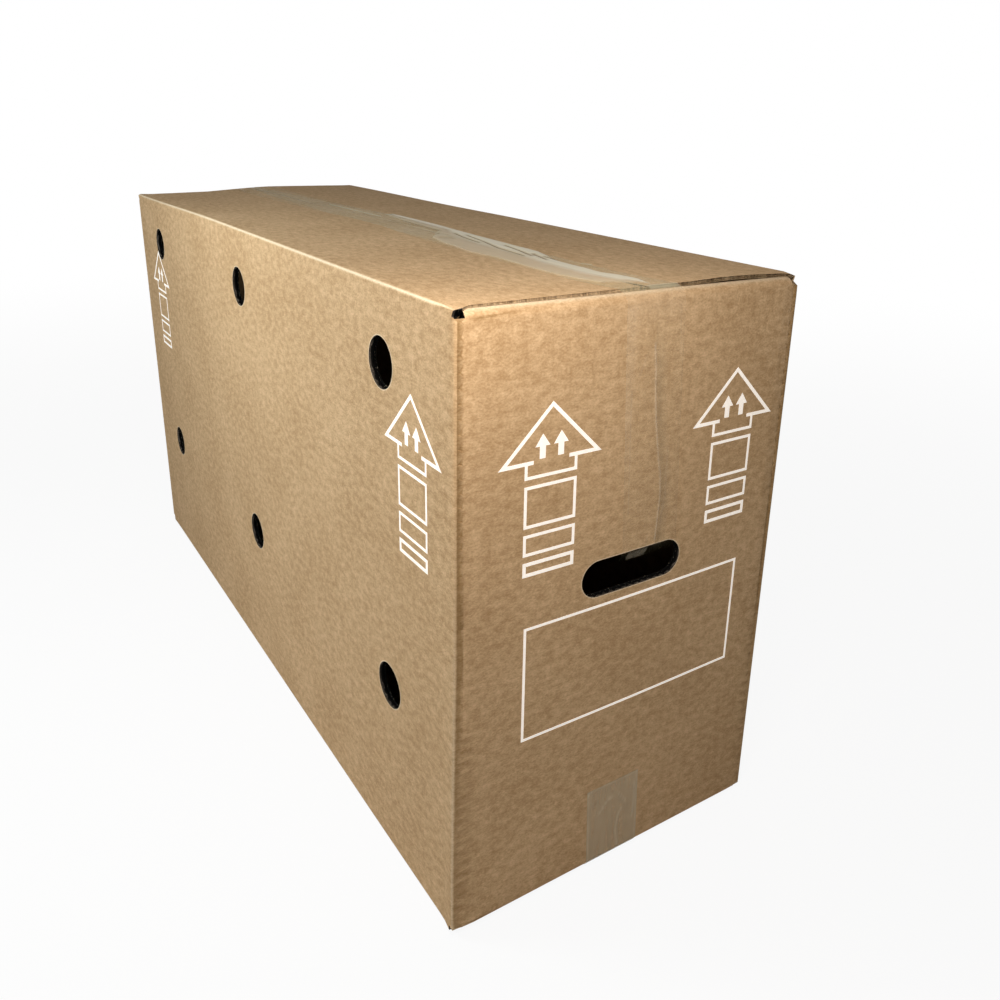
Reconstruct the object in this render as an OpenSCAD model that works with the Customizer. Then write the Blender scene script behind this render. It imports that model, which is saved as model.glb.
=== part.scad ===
// Ventilated carton: one folded and glued sheet of double-wall board, taped shut top and bottom.
// X runs across the short end panels, Y along the long side panels, Z up from the ground.
// The origin lies on the ground, under the middle of the box. All sizes are in millimetres.

/* [Box] */
// Outside width, across an end panel
box_w = 276; // [200:1:400]
// Outside length, along a side panel
box_l = 780; // [450:1:1100]
// Outside height, over the closed flaps
box_h = 440; // [320:1:600]

/* [Board] */
// Thickness of the double-wall board
board_t = 5.5; // [3:0.5:7]
// Outside radius of a crease
crease_r = 5.4; // [1:0.1:8]
// Inside radius of a crease
fold_r = 1; // [0.5:0.1:2]
// Space between a long flap and the short flap under it
lay_gap = 0.2; // [0.1:0.1:1]
// Space between the two long flaps where they meet
seam_gap = 1.5; // [0.5:0.5:6]

/* [Corner slots] */
// Width of the slot between two neighbouring flaps
slot_w = 8; // [4:0.5:14]
// Least width of board cut away beside a crease
slot_side = 0.25; // [0.25:0.25:2]
// Depth at which a slot ends, under the top of the box
slot_end = 8.5; // [6:0.5:16]

/* [Glued corner joint] */
// Width of the glue tab
tab_w = 35; // [20:1:50]
// Distance from the top or bottom of the box to the tab's corner at the crease
tab_in = 20; // [16:1:40]
// How much lower the tab's free corner lies than its corner at the crease
tab_taper = 12; // [0:1:30]
// Distance from the end panel's face back to the raw edge of the side panel
raw_back = 1.5; // [0.5:0.5:4]

/* [Hand holes] */
// Width of a hand hole
hand_w = 86; // [60:1:120]
// Height of a hand hole
hand_h = 27; // [18:1:40]
// Distance from the top of the box down to the middle of a hand hole
hand_down = 192; // [140:1:200]

/* [Vents] */
// Radius of a vent
vent_r = 17.5; // [8:0.5:25]
// Distance from the front end to the middle of the nearest vents
vent_front = 96; // [80:1:150]
// Distance from the far end to the middle of the nearest vents
vent_far = 92; // [80:1:150]
// Number of vents in a row
vent_cols = 3; // [1:1:3]
// Distance from the top of the box down to the middle of the upper row
vent_top = 52; // [45:1:100]
// Distance from the top of the box down to the middle of the lower row
vent_low = 293; // [180:1:310]

/* [Tape] */
// Width of the packing tape
tape_w = 48; // [36:1:75]
// Thickness of the tape
tape_t = 0.2; // [0.1:0.1:0.5]
// How far the top tape's middle lies to the right of the seam
tape_shift = 8; // [-20:1:20]
// Length of the top tape's end that is tucked into a hand hole
tuck_l = 8; // [4:1:14]
// Angle between the tucked end and the end panel
tuck_a = 38; // [20:1:60]
// Height to which the bottom tape climbs an end panel
climb = 72; // [40:1:120]
// Free space on each side of the bottom tape in its pressed bed
bed_gap = 0.2; // [0.1:0.1:0.5]

/* [Hidden] */
$fn = 64;
board_colour = [0.76, 0.61, 0.42];
tape_colour = [0.86, 0.82, 0.72, 0.6];
half_w = box_w/2;
half_l = box_l/2;
// A crease fills a square of this size, from the outer corner to where both arms are flat
fold_size = board_t + fold_r;
outer_r = min(crease_r, board_t);
// Distance from the outer face of the next panel to a flap's edge
flap_in = max(fold_size + slot_side, (board_t + slot_w)/2);
// All flaps are cut to one depth, so that the long ones meet at the seam
flap_deep = half_w - seam_gap/2;
// The short flaps lie under the long ones, so the end panels are folded this much nearer the middle
end_in = board_t + lay_gap;
vent_step = (box_l - vent_front - vent_far)/max(vent_cols - 1, 1);
hand_z = box_h - hand_down;
// How far a cutter reaches past the board on each side
past = 1;
// Steps of the tape around a crease
wrap_steps = 6;

// One crease seen end-on: the outer corner is at the origin and the arms run along +X and +Y
module crease_2d() {
    difference() {
        union() {
            intersection() {
                translate([outer_r, outer_r]) circle(r = outer_r);
                square(outer_r);
            }
            translate([outer_r, 0]) square([fold_size - outer_r, fold_size]);
            translate([0, outer_r]) square([fold_size, fold_size - outer_r]);
        }
        translate([fold_size, fold_size]) circle(r = fold_r);
    }
}

// A panel of height h with a flap at each end, seen edge-on: the panel stands on the Y axis
module panel_2d(h) {
    translate([0, fold_size]) square([board_t, h - 2*fold_size]);
    for (end = [0, 1])
        translate([0, end*h]) mirror([0, end]) {
            crease_2d();
            translate([fold_size, 0]) square([flap_deep - fold_size, board_t]);
        }
}

// A panel with its two flaps, from y = y0 to y = y1, with its outer face at x = 0 and its inside at +X
module panel(h, y0, y1) {
    translate([0, y1, 0]) rotate([90, 0, 0]) linear_extrude(y1 - y0) panel_2d(h);
}

// An upright crease between the slots, with its outer corner at the origin
module upright() {
    translate([0, 0, slot_end]) linear_extrude(box_h - 2*slot_end) {
        crease_2d();
        translate([fold_size, 0]) square([flap_in - fold_size, board_t]);
        translate([0, fold_size]) square([board_t, flap_in - fold_size]);
    }
}

// The glue tab inside the side panel at the far right corner, and that panel's raw edge
module glued_joint() {
    translate([half_w - board_t, half_l, 0]) mirror([1, 0, 0]) mirror([0, 1, 0]) upright();
    translate([half_w - board_t, half_l - flap_in, slot_end])
        cube([board_t, flap_in - raw_back, box_h - 2*slot_end]);
    translate([half_w - 2*board_t, half_l, 0]) rotate([90, 0, 90]) linear_extrude(board_t)
        polygon([[-flap_in, tab_in], [-flap_in, box_h - tab_in],
                 [-tab_w, box_h - tab_in - tab_taper], [-tab_w, tab_in + tab_taper]]);
}

// The folded sheet before its holes are cut
module folded_sheet() {
    end_h = box_h - 2*end_in;
    for (side = [0, 1])
        mirror([side, 0, 0]) translate([-half_w, 0, 0]) panel(box_h, flap_in - half_l, half_l - flap_in);
    // Front end panel
    translate([0, -half_l, end_in]) rotate([0, 0, 90]) panel(end_h, flap_in - half_w, half_w - flap_in);
    // Far end panel, narrower by the board at the glued corner
    translate([0, half_l, end_in]) rotate([0, 0, -90])
        panel(end_h, flap_in - half_w, half_w - board_t - flap_in);
    translate([-half_w, -half_l, 0]) upright();
    translate([half_w, -half_l, 0]) mirror([1, 0, 0]) upright();
    translate([-half_w, half_l, 0]) mirror([0, 1, 0]) upright();
    glued_joint();
}

// A hand hole through both end panels
module hand_holes() {
    straight = hand_w - hand_h;
    for (end = [-1, 1])
        translate([0, end*(half_l - board_t/2), hand_z]) rotate([90, 0, 0]) {
            translate([0, 0, -board_t/2 - past]) {
                translate([-straight/2, -hand_h/2, 0]) cube([straight, hand_h, board_t + 2*past]);
                for (x = [-1, 1]) translate([x*straight/2, 0, 0]) cylinder(r = hand_h/2, h = board_t + 2*past);
            }
        }
}

// The vents through both side panels
module vents() {
    for (side = [-1, 1], col = [0:vent_cols - 1], down = [vent_top, vent_low])
        translate([side*(half_w - board_t/2), vent_front - half_l + col*vent_step, box_h - down])
            rotate([0, 90, 0]) cylinder(r = vent_r, h = board_t + 2*past, center = true);
}

// The place where the bottom tape is pressed into the underside, so that the board still meets the ground
module tape_bed() {
    bed_w = tape_w + 2*bed_gap;
    translate([-bed_w/2, -half_l, -past]) cube([bed_w, box_l, tape_t + past]);
}

module carton() {
    color(board_colour) difference() {
        folded_sheet();
        hand_holes();
        vents();
        tape_bed();
    }
}

// Corners of a strip that touches a crease from outside, from the panel's face at 180 degrees
// to the angle at which the strip leaves for the flap's edge. mid is the crease's centre.
function wrap_points(mid, edge) =
    let (d = edge - mid,
         away = atan2(d[1], d[0]) + acos(outer_r/norm(d)),
         step = (180 - away)/wrap_steps,
         r = outer_r/cos(step/2))
    [for (i = [0:wrap_steps - 1])
        let (a = 180 - step*(i + 0.5))
        mid + r*[cos(a), sin(a)]];

// The point at distance d to the left of a path's corner, where the path comes from p0 through p1 to p2
function left_of(p0, p1, p2, d) =
    let (a = (p1 - p0)/norm(p1 - p0),
         b = (p2 - p1)/norm(p2 - p1),
         na = [-a[1], a[0]],
         nb = [-b[1], b[0]])
    p1 + d*(na + nb)/(1 + na*nb);

// A strip of tape seen edge-on, laid along the left side of a path
module strip_2d(path) {
    n = len(path);
    first = path[0] - (path[1] - path[0]);
    last = path[n - 1] + (path[n - 1] - path[n - 2]);
    full = concat([first], path, [last]);
    outer = [for (i = [n:-1:1]) left_of(full[i - 1], full[i], full[i + 1], tape_t)];
    polygon(concat(path, outer));
}

// A strip of tape from the path over one end, its mirror image at the other end, and the run between them
module strip(front_half) {
    n = len(front_half);
    back_half = [for (i = [n - 1:-1:0]) [-front_half[i][0], front_half[i][1]]];
    translate([-tape_w/2, 0, 0]) rotate([90, 0, 90]) linear_extrude(tape_w)
        strip_2d(concat(front_half, back_half));
}

// Middle of the end panel's crease and edge of the long flap, both seen from the side at the front end
fold_mid = [outer_r - half_l, outer_r + end_in];
flap_edge = [flap_in - half_l, 0];

module top_tape() {
    up = [0, box_h];
    mid = [fold_mid[0], box_h - fold_mid[1]];
    edge = flap_edge + up;
    hole_edge = [-half_l, hand_z + hand_h/2];
    tip = hole_edge + tuck_l*[sin(tuck_a), -cos(tuck_a)];
    color(tape_colour) translate([tape_shift, 0, 0])
        strip(concat([tip, hole_edge], wrap_points(mid, edge), [edge]));
}

module bottom_tape() {
    // The same wrap as at the top, with the height counted down from the bed
    edge = flap_edge - [0, tape_t];
    down = concat([[-half_l, -climb]], wrap_points(-fold_mid + [2*fold_mid[0], 0], edge), [edge]);
    color(tape_colour) mirror([0, 0, 1]) strip(down);
}

carton();
top_tape();
bottom_tape();
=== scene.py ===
# %% [markdown]
# # A ventilated cardboard box
# The real object is one die-cut sheet of brown double-wall board. It was printed flat, folded into a
# sleeve, glued at one corner, and taped shut at the top and at the bottom. We build it in that order
# here: cut the flat sheet, fold it, let it settle a little, print it, tape it, then give each surface its
# finish.
#
# The solid model of the box is already packed. It is the fixed frame that every piece here is built around.

# %% Load the solid model
import math
import random

import bmesh
import bpy
import numpy as np
from mathutils import Matrix, Vector
from mathutils.geometry import delaunay_2d_cdt


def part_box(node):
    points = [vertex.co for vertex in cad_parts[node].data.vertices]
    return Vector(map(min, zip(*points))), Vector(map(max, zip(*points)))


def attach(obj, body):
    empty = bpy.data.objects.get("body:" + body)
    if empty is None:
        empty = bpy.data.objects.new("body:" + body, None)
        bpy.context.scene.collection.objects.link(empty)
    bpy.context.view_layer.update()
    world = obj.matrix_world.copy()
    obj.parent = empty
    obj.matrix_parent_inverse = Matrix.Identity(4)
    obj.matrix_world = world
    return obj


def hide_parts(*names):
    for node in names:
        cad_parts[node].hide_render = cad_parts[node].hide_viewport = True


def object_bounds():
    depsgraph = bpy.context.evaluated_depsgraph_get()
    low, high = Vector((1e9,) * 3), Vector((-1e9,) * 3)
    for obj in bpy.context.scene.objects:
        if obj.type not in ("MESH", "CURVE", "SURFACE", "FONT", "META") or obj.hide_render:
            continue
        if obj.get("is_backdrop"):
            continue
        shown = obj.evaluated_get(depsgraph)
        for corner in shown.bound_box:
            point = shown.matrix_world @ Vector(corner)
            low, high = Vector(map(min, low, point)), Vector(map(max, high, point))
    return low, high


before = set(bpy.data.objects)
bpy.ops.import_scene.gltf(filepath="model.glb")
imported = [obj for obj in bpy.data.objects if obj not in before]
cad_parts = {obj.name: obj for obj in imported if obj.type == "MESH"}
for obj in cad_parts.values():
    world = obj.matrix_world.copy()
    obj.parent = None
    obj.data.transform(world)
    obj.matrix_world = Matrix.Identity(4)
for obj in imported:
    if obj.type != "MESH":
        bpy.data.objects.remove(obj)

solid_bounds = [list(corner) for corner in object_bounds()]
print("nodes:", sorted(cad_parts))

# %% [markdown]
# Board makers think in millimetres and Blender in metres. All sizes below are millimetres, and one value
# turns them into metres when a mesh is made. The outside size isn't typed in: it is measured on the solid
# carton.

# %% Measure the carton
MM = 0.001
low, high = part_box("carton")
WIDTH, LENGTH, HEIGHT = [round(side / MM, 3) for side in high - low]
HALF_W, HALF_L, HALF_H = WIDTH / 2, LENGTH / 2, HEIGHT / 2
print(f"carton: {WIDTH:.1f} wide, {LENGTH:.1f} long, {HEIGHT:.1f} high")

# %% [markdown]
# ## The camera
# The camera stands near the front left corner, a little above the box, turned and tipped as the
# photographer held it. Three plain angles say how: the turn to the right, the tip downwards, and a slight
# lean. Its shift places the picture's centre away from the lens axis, as the picture's crop does.

# %% Camera
PICTURE = 1000
LENS_PIXELS = 901.6
LENS_AXIS = (521.6, 418.8)
SENSOR = 36
CAMERA_PLACE = Vector((-371.65, -804.61, 540.09)) * MM
TURN, TIP, LEAN = [math.radians(angle) for angle in (33.893, 18.716, 1.329)]


def place_object(name, data):
    """Puts a camera, a lamp or a mesh into the scene as an object."""
    made = bpy.data.objects.new(name, data)
    bpy.context.scene.collection.objects.link(made)
    return made


camera = place_object("camera", bpy.data.cameras.new("camera"))
camera.data.sensor_width = SENSOR
camera.data.lens = LENS_PIXELS / PICTURE * SENSOR
camera.data.shift_x = (PICTURE / 2 - LENS_AXIS[0]) / PICTURE
camera.data.shift_y = (LENS_AXIS[1] - PICTURE / 2) / PICTURE
camera.data.clip_start = 0.01
camera.matrix_world = (Matrix.Translation(CAMERA_PLACE) @ Matrix.Rotation(-TURN, 4, "Z")
                       @ Matrix.Rotation(math.pi / 2 - TIP, 4, "X") @ Matrix.Rotation(LEAN, 4, "Z"))
bpy.context.scene.camera = camera
print(f"lens {camera.data.lens:.1f} mm, shift {camera.data.shift_x:.3f}, {camera.data.shift_y:.3f}")

# %% [markdown]
# ## Shader helpers
# A finish is a graph of nodes. Typing each node out takes many lines, so small helpers add a node, do
# sums, rescale a value and mix colours, and others start a node group or a material. Each input of theirs
# is either a number or the output of another node.

# %% Helpers for shader nodes
def feed(tree, socket, value):
    """Links value into the socket if it is another node's output, and otherwise sets it."""
    if isinstance(value, bpy.types.NodeSocket):
        tree.links.new(value, socket)
    elif value is not None:
        socket.default_value = value


def feed_all(tree, node, inputs):
    """Feeds a node's inputs by name. A name has _ where the socket's name has a space."""
    for name, value in inputs.items():
        feed(tree, node.inputs[name.replace("_", " ")], value)


def add(tree, kind, settings=None, **inputs):
    """Adds one node with its settings and its inputs."""
    made = tree.nodes.new("ShaderNode" + kind)
    for name, value in (settings or {}).items():
        setattr(made, name, value)
    feed_all(tree, made, inputs)
    return made


def sums(tree, operation, *values):
    """One Math node."""
    made = tree.nodes.new("ShaderNodeMath")
    made.operation = operation
    for socket, value in zip(made.inputs, values):
        feed(tree, socket, value)
    return made.outputs[0]


def rescale(tree, value, low_in, high_in, low_out=0.0, high_out=1.0):
    """A smooth step from low_out to high_out as value goes from low_in to high_in."""
    made = add(tree, "MapRange", {"interpolation_type": "SMOOTHSTEP"}, Value=value, From_Min=low_in,
               From_Max=high_in, To_Min=low_out, To_Max=high_out)
    return made.outputs[0]


def mix_colours(tree, share, first, second, blend="MIX"):
    """The first colour where share is 0 and the second where it is 1."""
    made = add(tree, "Mix", {"data_type": "RGBA", "blend_type": blend})
    colours_in = [socket for socket in made.inputs if socket.type == "RGBA"]
    for socket, value in zip([made.inputs[0], *colours_in], (share, first, second)):
        feed(tree, socket, value)
    return [socket for socket in made.outputs if socket.type == "RGBA"][0]


def srgb(red, green, blue):
    """A shader colour from the 0 to 255 values that a colour chart gives."""
    def linear(value):
        share = value / 255
        return share / 12.92 if share <= 0.04045 else ((share + 0.055) / 1.055) ** 2.4
    return (linear(red), linear(green), linear(blue), 1.0)


def new_group(name, inputs, outputs):
    """A shader node group with its named sockets. Gives the tree, its inputs and its outputs."""
    tree = bpy.data.node_groups.new(name, "ShaderNodeTree")
    for title, kind, value in inputs:
        socket = tree.interface.new_socket(title, in_out="INPUT", socket_type="NodeSocket" + kind)
        if value is not None:
            socket.default_value = value
    for title, kind in outputs:
        tree.interface.new_socket(title, in_out="OUTPUT", socket_type="NodeSocket" + kind)
    return tree, tree.nodes.new("NodeGroupInput").outputs, tree.nodes.new("NodeGroupOutput").inputs


def place_group(tree, group, **inputs):
    """Puts a node group into a material with its own values."""
    made = tree.nodes.new("ShaderNodeGroup")
    made.node_tree = group
    feed_all(tree, made, inputs)
    return made.outputs


def new_material(name):
    """An empty material. Gives the material, its tree and its shader."""
    made = bpy.data.materials.new(name)
    made.use_nodes = True
    return made, made.node_tree, made.node_tree.nodes["Principled BSDF"]


def add_bumps(tree, shader, height, strength, distance):
    """Roughens the surface by a height, at most distance millimetres deep."""
    bumps = add(tree, "Bump", None, Height=height, Strength=strength, Distance=distance * MM)
    tree.links.new(bumps.outputs[0], shader.inputs["Normal"])


print("shader helpers are ready")

# %% [markdown]
# ## Floor, sky and lamps
# The box stands on a plain pale floor in front of white. The sky is white for what the camera and any
# gloss see, and a dim grey for what lights the box, so the white never washes the board out. The floor
# mixes white in for the camera too, but near the box it keeps part of its true shade, so the soft shadow
# stays.

# %% Floor and sky
FLOOR_SIZE = 30000
FLOOR_WHITE = (0.92, 1.0)
FLOOR_FADE = (600, 2600)
SKY_LIGHT = 0.17


def seen_directly(tree):
    """1 for a ray from the camera, from a reflection or through glass."""
    path = tree.nodes.new("ShaderNodeLightPath").outputs
    rays = sums(tree, "MAXIMUM", path["Is Camera Ray"], path["Is Glossy Ray"])
    return sums(tree, "MAXIMUM", rays, path["Is Transmission Ray"])


floor_mesh = bpy.data.meshes.new("floor")
edge = FLOOR_SIZE / 2 * MM
corners = [(-edge, -edge, 0), (edge, -edge, 0), (edge, edge, 0), (-edge, edge, 0)]
floor_mesh.from_pydata(corners, [], [(0, 1, 2, 3)])
floor = place_object("floor", floor_mesh)
floor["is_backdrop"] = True
floor_finish, tree, shader = new_material("pale_floor")
shader.inputs["Base Color"].default_value = srgb(235, 235, 235)
shader.inputs["Roughness"].default_value = 0.9
white = add(tree, "Emission", Strength=1.0)
place = add(tree, "TexCoord").outputs["Object"]
away = add(tree, "VectorMath", {"operation": "LENGTH"}, Vector=place).outputs["Value"]
fade = rescale(tree, away, FLOOR_FADE[0] * MM, FLOOR_FADE[1] * MM, *FLOOR_WHITE)
share = sums(tree, "MULTIPLY", seen_directly(tree), fade)
blended = add(tree, "MixShader", None, Fac=share)
tree.links.new(shader.outputs[0], blended.inputs[1])
tree.links.new(white.outputs[0], blended.inputs[2])
tree.links.new(blended.outputs[0], tree.nodes["Material Output"].inputs["Surface"])
floor_mesh.materials.append(floor_finish)

sky = bpy.data.worlds.new("sky")
sky.use_nodes = True
bpy.context.scene.world = sky
tree = sky.node_tree
strength = rescale(tree, seen_directly(tree), 0.0, 1.0, SKY_LIGHT, 1.0)
tree.links.new(strength, tree.nodes["Background"].inputs["Strength"])
tree.nodes["Background"].inputs["Color"].default_value = (1, 1, 1, 1)
bpy.context.scene.view_settings.view_transform = "Standard"
print(f"floor {FLOOR_SIZE / 1000:.0f} m square, sky light {SKY_LIGHT}")

# %% [markdown]
# The near top corner of the box is the brightest place, and the light falls off quickly to the right and
# down. Only lamps close to the box do that. A warm round one hangs in front of the end panel, and a
# cooler one beside the long panel. A third, behind the box, never reaches the sides that the camera sees
# here, but it lights the others when the box is looked at from behind. It hangs lower than the top, which
# it would wash out.

# %% Lamps
LAMPS = {
    "end_lamp": {"place": (-186, -562, 585), "radius": 60, "watts": 4.5, "colour": (1.0, 0.935, 0.87)},
    "side_lamp": {"place": (-562, -34, 640), "radius": 110, "watts": 11.2, "colour": (0.89, 0.97, 1.0)},
    "back_lamp": {"place": (1400, 1500, 240), "radius": 180, "watts": 45, "colour": (1.0, 0.97, 0.94)},
}
for name, lamp in LAMPS.items():
    data = bpy.data.lights.new(name, "POINT")
    data.shadow_soft_size = lamp["radius"] * MM
    data.energy = lamp["watts"]
    data.color = lamp["colour"]
    lamp_object = place_object(name, data)
    lamp_object.location = Vector(lamp["place"]) * MM
    lamp_object.visible_camera = False
    print(f"{name}: {lamp['watts']} W at {lamp['place']}")

# %% [markdown]
# ## The flat sheet
# A carton maker doesn't model a box, but a flat sheet and its folds, and that is also the easiest way to
# get every crease, slot and flap right. On the flat sheet, `along` runs around the box from the glue tab
# to the raw edge that the tab is glued under, and `up` runs from the bottom flaps to the top flaps, with
# 0 at mid height. The five panels follow each other, with a crease between each two.

# %% Sizes of the sheet
BOARD = 5.5
OUTER_R = 5.4
SHARP_R = 2.4
INNER_R = 1.0
FOLD = BOARD + INNER_R
CREASE = 2 * (FOLD - OUTER_R) + math.pi / 2 * OUTER_R
LAY_GAP = 0.2
SEAM_GAP = 1.5
FLAP_DEEP = HALF_W - SEAM_GAP / 2
SLOT_SIDE = 0.25
TAB_W = 35
TAB_IN = 20
TAB_TAPER = 12
RAW_BACK = 1.5
END_DROP = BOARD + LAY_GAP
SLOT_UP = HALF_H - 9
SCORE_PLACE = 0.76
SCORE_WIDE = 0.13
SCORE_DEEP = 0.8
CRUSH = 0.45
CORNER_REACH = {"left_side": 6.2, "right_side": 3.0}
REACH_RUN = 32
SLOT_REACH = 0.85
SLOT_STEP = 0.8

# Name, where its outer face starts, which way it runs, its flat length, and how much lower its flaps fold
panel_plan = [
    ("glue_tab", (HALF_W - BOARD, HALF_L - TAB_W), (0, 1), TAB_W - FOLD, 0),
    ("far_end", (HALF_W - BOARD - FOLD, HALF_L), (-1, 0), WIDTH - BOARD - 2 * FOLD, END_DROP),
    ("left_side", (-HALF_W, HALF_L - FOLD), (0, -1), LENGTH - 2 * FOLD, 0),
    ("front_end", (FOLD - HALF_W, -HALF_L), (1, 0), WIDTH - 2 * FOLD, END_DROP),
    ("right_side", (HALF_W, FOLD - HALF_L), (0, 1), LENGTH - FOLD - RAW_BACK, 0),
]


class Panel:
    """One panel of the sheet, with the flaps above and below it."""

    def __init__(self, name, start, runs, length, drop, along):
        self.name = name
        self.start = np.array(start, float)
        self.runs = np.array(runs, float)
        self.inward = np.array((-runs[1], runs[0]), float)
        self.length = length
        self.along = along
        self.is_end = runs[0] != 0
        self.long = LENGTH - 2 * FOLD if runs[1] else length
        self.hinge = HALF_H - drop - FOLD
        self.flap_top = self.hinge + CREASE + FLAP_DEEP - FOLD

    def at(self, x, y):
        """How far along the sheet the point x, y of this panel's face lies."""
        return self.along + (np.array((x, y)) - self.start) @ self.runs


panels = {}
along = 0.0
for name, start, runs, length, drop in panel_plan:
    panels[name] = Panel(name, start, runs, length, drop, along)
    along += length + CREASE
SHEET_LONG = along - CREASE
print(f"flat sheet: {SHEET_LONG:.0f} long, {2 * panels['left_side'].flap_top:.0f} over the flaps")

# %% [markdown]
# Folding is one function: it takes a place on the flat sheet and a depth in the board, 0 on the printed
# face and `BOARD` on the inner face, and gives the point in space. In a crease, the outer face runs
# around a wide arc and the inner face around a tight one, and what lies between them is shared out by
# depth. The creasing wheel has crushed the board there, so a crease is thinner than the board beside it,
# and next to each upright crease it has left a groove on the end panel.

# %% Fold the sheet
def hump(value, middle, reach):
    """1 in the middle, falling smoothly to 0 at the distance reach."""
    return np.cos(np.clip((value - middle) / reach, -1, 1) * math.pi / 2) ** 2


def ramp(value, start, end):
    """0 at the start and 1 at the end, straight in between."""
    return np.clip((value - start) / (end - start), 0, 1)


def band(value, middle, width):
    """1 in the middle, falling off like a bell on both sides."""
    return np.exp(-((value - middle) / width) ** 2)


def as_rows(*parts):
    """Numbers and arrays as flat arrays of one length."""
    return [part.ravel() for part in np.broadcast_arrays(*parts)]


def corner_path(turned, depth, radius, score=None):
    """Across a crease, where turned goes from 0 to 1. Gives the distance in from the first panel's face, and
    back from the second one's, counted from the sharp corner that the two faces would make. score is where
    the wheel's groove lies, if there is one."""
    flat = FOLD - radius
    arc = math.pi / 2 * radius
    walked = turned * (2 * flat + arc)
    angle = np.clip((walked - flat) / radius, 0, math.pi / 2)
    outer_in = radius * (1 - np.cos(angle)) + np.clip(walked - flat - arc, 0, flat)
    outer_back = radius * (1 - np.sin(angle)) + np.clip(flat - walked, 0, flat)
    inner_in = FOLD - INNER_R * np.cos(turned * math.pi / 2)
    inner_back = FOLD - INNER_R * np.sin(turned * math.pi / 2)
    share = depth / BOARD * (1 - CRUSH * hump(turned, 0.5, 0.6))
    groove = 0
    if score is not None:
        groove = SCORE_DEEP * (1 - share) * band(turned, score, SCORE_WIDE)
    return (outer_in + (inner_in - outer_in) * share + groove * np.cos(angle),
            outer_back + (inner_back - outer_back) * share + groove * np.sin(angle))


def reach_corner(panel, along, up):
    """How far an upper long flap's fold is pulled along the panel, to the box's corner at its near end."""
    from_start = along - panel.along
    from_end = panel.along + panel.long - along
    near = ramp(np.minimum(from_start, from_end), REACH_RUN, 0) ** 2
    pull = CORNER_REACH.get(panel.name, 0) * near * hump(up, panel.hinge + CREASE / 2, 14)
    return np.where(from_start < from_end, -1, 1) * pull * ramp(up, SLOT_UP, SLOT_UP + SLOT_STEP)


def fold(along, up, depth=0.0):
    """Points in space, in millimetres, for places on the flat sheet."""
    along, up, depth = as_rows(along, up, depth)
    points = np.zeros((len(along), 3))
    ordered = list(panels.values())
    for panel, after in zip(ordered, ordered[1:] + [None]):
        first = -1e9 if panel is ordered[0] else panel.along
        last = panel.along + panel.length if after else 1e9
        mine = (along >= first) & (along <= last)
        height, rise, deep = np.abs(up[mine]), np.sign(up[mine]), depth[mine]
        turned = np.clip((height - panel.hinge) / CREASE, 0, 1)
        inside, back = corner_path(turned, deep, OUTER_R if panel.is_end else SHARP_R)
        past = np.maximum(height - panel.hinge - CREASE, 0)
        wall = height <= panel.hinge
        inside = np.where(wall, deep, inside + past)
        level = np.where(wall, height, panel.hinge + FOLD - back)
        walked = along[mine] - panel.along
        if not panel.is_end:
            walked = walked + reach_corner(panel, along[mine], up[mine])
        points[mine, :2] = panel.start + np.outer(walked, panel.runs) + np.outer(inside, panel.inward)
        points[mine, 2] = HALF_H + rise * level
        if after:
            mine = (along > last) & (along < after.along)
            score = SCORE_PLACE if after.is_end else 1 - SCORE_PLACE
            inside, back = corner_path((along[mine] - last) / CREASE, depth[mine], SHARP_R, score)
            corner = panel.start + panel.runs * (panel.length + FOLD)
            points[mine, :2] = corner + np.outer(inside, after.runs) - np.outer(back, panel.runs)
            points[mine, 2] = HALF_H + up[mine]
    return points


front = panels["front_end"]
print("front crease, outside and inside:",
      fold(front.along - CREASE / 2, 0, 0).round(2), fold(front.along - CREASE / 2, 0, BOARD).round(2))

# %% [markdown]
# A real carton is never perfectly flat. Its long panels belly a little, the taped seam stands up in a low
# ridge, the right flap lies higher than the left one at the far end, and the long left foot is rounded.
# The near upright corner leans out towards its foot, and two corners are bruised: the near foot, and the
# front right one at the top. Over each end, the tape and the weight of the box press the long flaps and
# the end panel's crease together. Each of these is a small smooth push on any point near it, so the same
# function can move the board, the print and the tape, and they stay together.
#
# Each number below is how far, in millimetres, or the share of the board's thickness that is left. The
# zones say where a push is felt: from where to where, or its middle and how far it reaches.

# %% How far the box has settled
SIDE_BELLY = 0.4
END_BELLY = 1.2
SEAM_RISE = 2.5
FAR_X = (-HALF_W, -100, -57, -27, 5, 20, 50, 100, HALF_W)
FAR_RISE = (-3.0, -2.4, -1.6, 0.4, 2.3, 2.9, 2.75, 2.3, 1.8)
RIGHT_SAG = 1.6
FOOT_RISE = 4.6
SPRUNG = 1.1
SEAM_PARTED = 1.7
BRUISE = 1.6
TOP_BRUISE = 1.5
CORNER_LEAN = {"z": (0, 53, 134, 216, 300, 440), "x": (-3.4, -3.1, -2.0, -0.6, -0.4, 0.2)}
PRESS_FROM = 38
THIN_TOP = {"x": (-HALF_W, -60, 0, 50, HALF_W), "thin": (0.24, 0.36, 0.42, 0.46, 0.46)}
THIN_FAR = 0.7
THIN_BOTTOM = 0.3
END_ZONE = (HALF_L - 24, HALF_L - 8)
CORNER_ZONE = 14
TOP_ZONE = (HEIGHT - 30, HEIGHT)
SPRUNG_ZONE = (80, 52)
SEAM_ZONE = {"y": (-40, 330), "x": (0, 110)}
FAR_ZONE = 340
PARTED_ZONE = (HALF_L - 30, HALF_L - 10)
BRUISE_HIGH = 20
KNOCK_ZONE = {"x": 10, "y": 13, "z": 18}
KNOCK_SIDE = 0.4
FOOT_ZONE = {"y": (-250, 350), "x": 25, "z": 45}
print(f"the seam stands {SEAM_RISE} mm high, the left foot is {FOOT_RISE} mm round")


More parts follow.
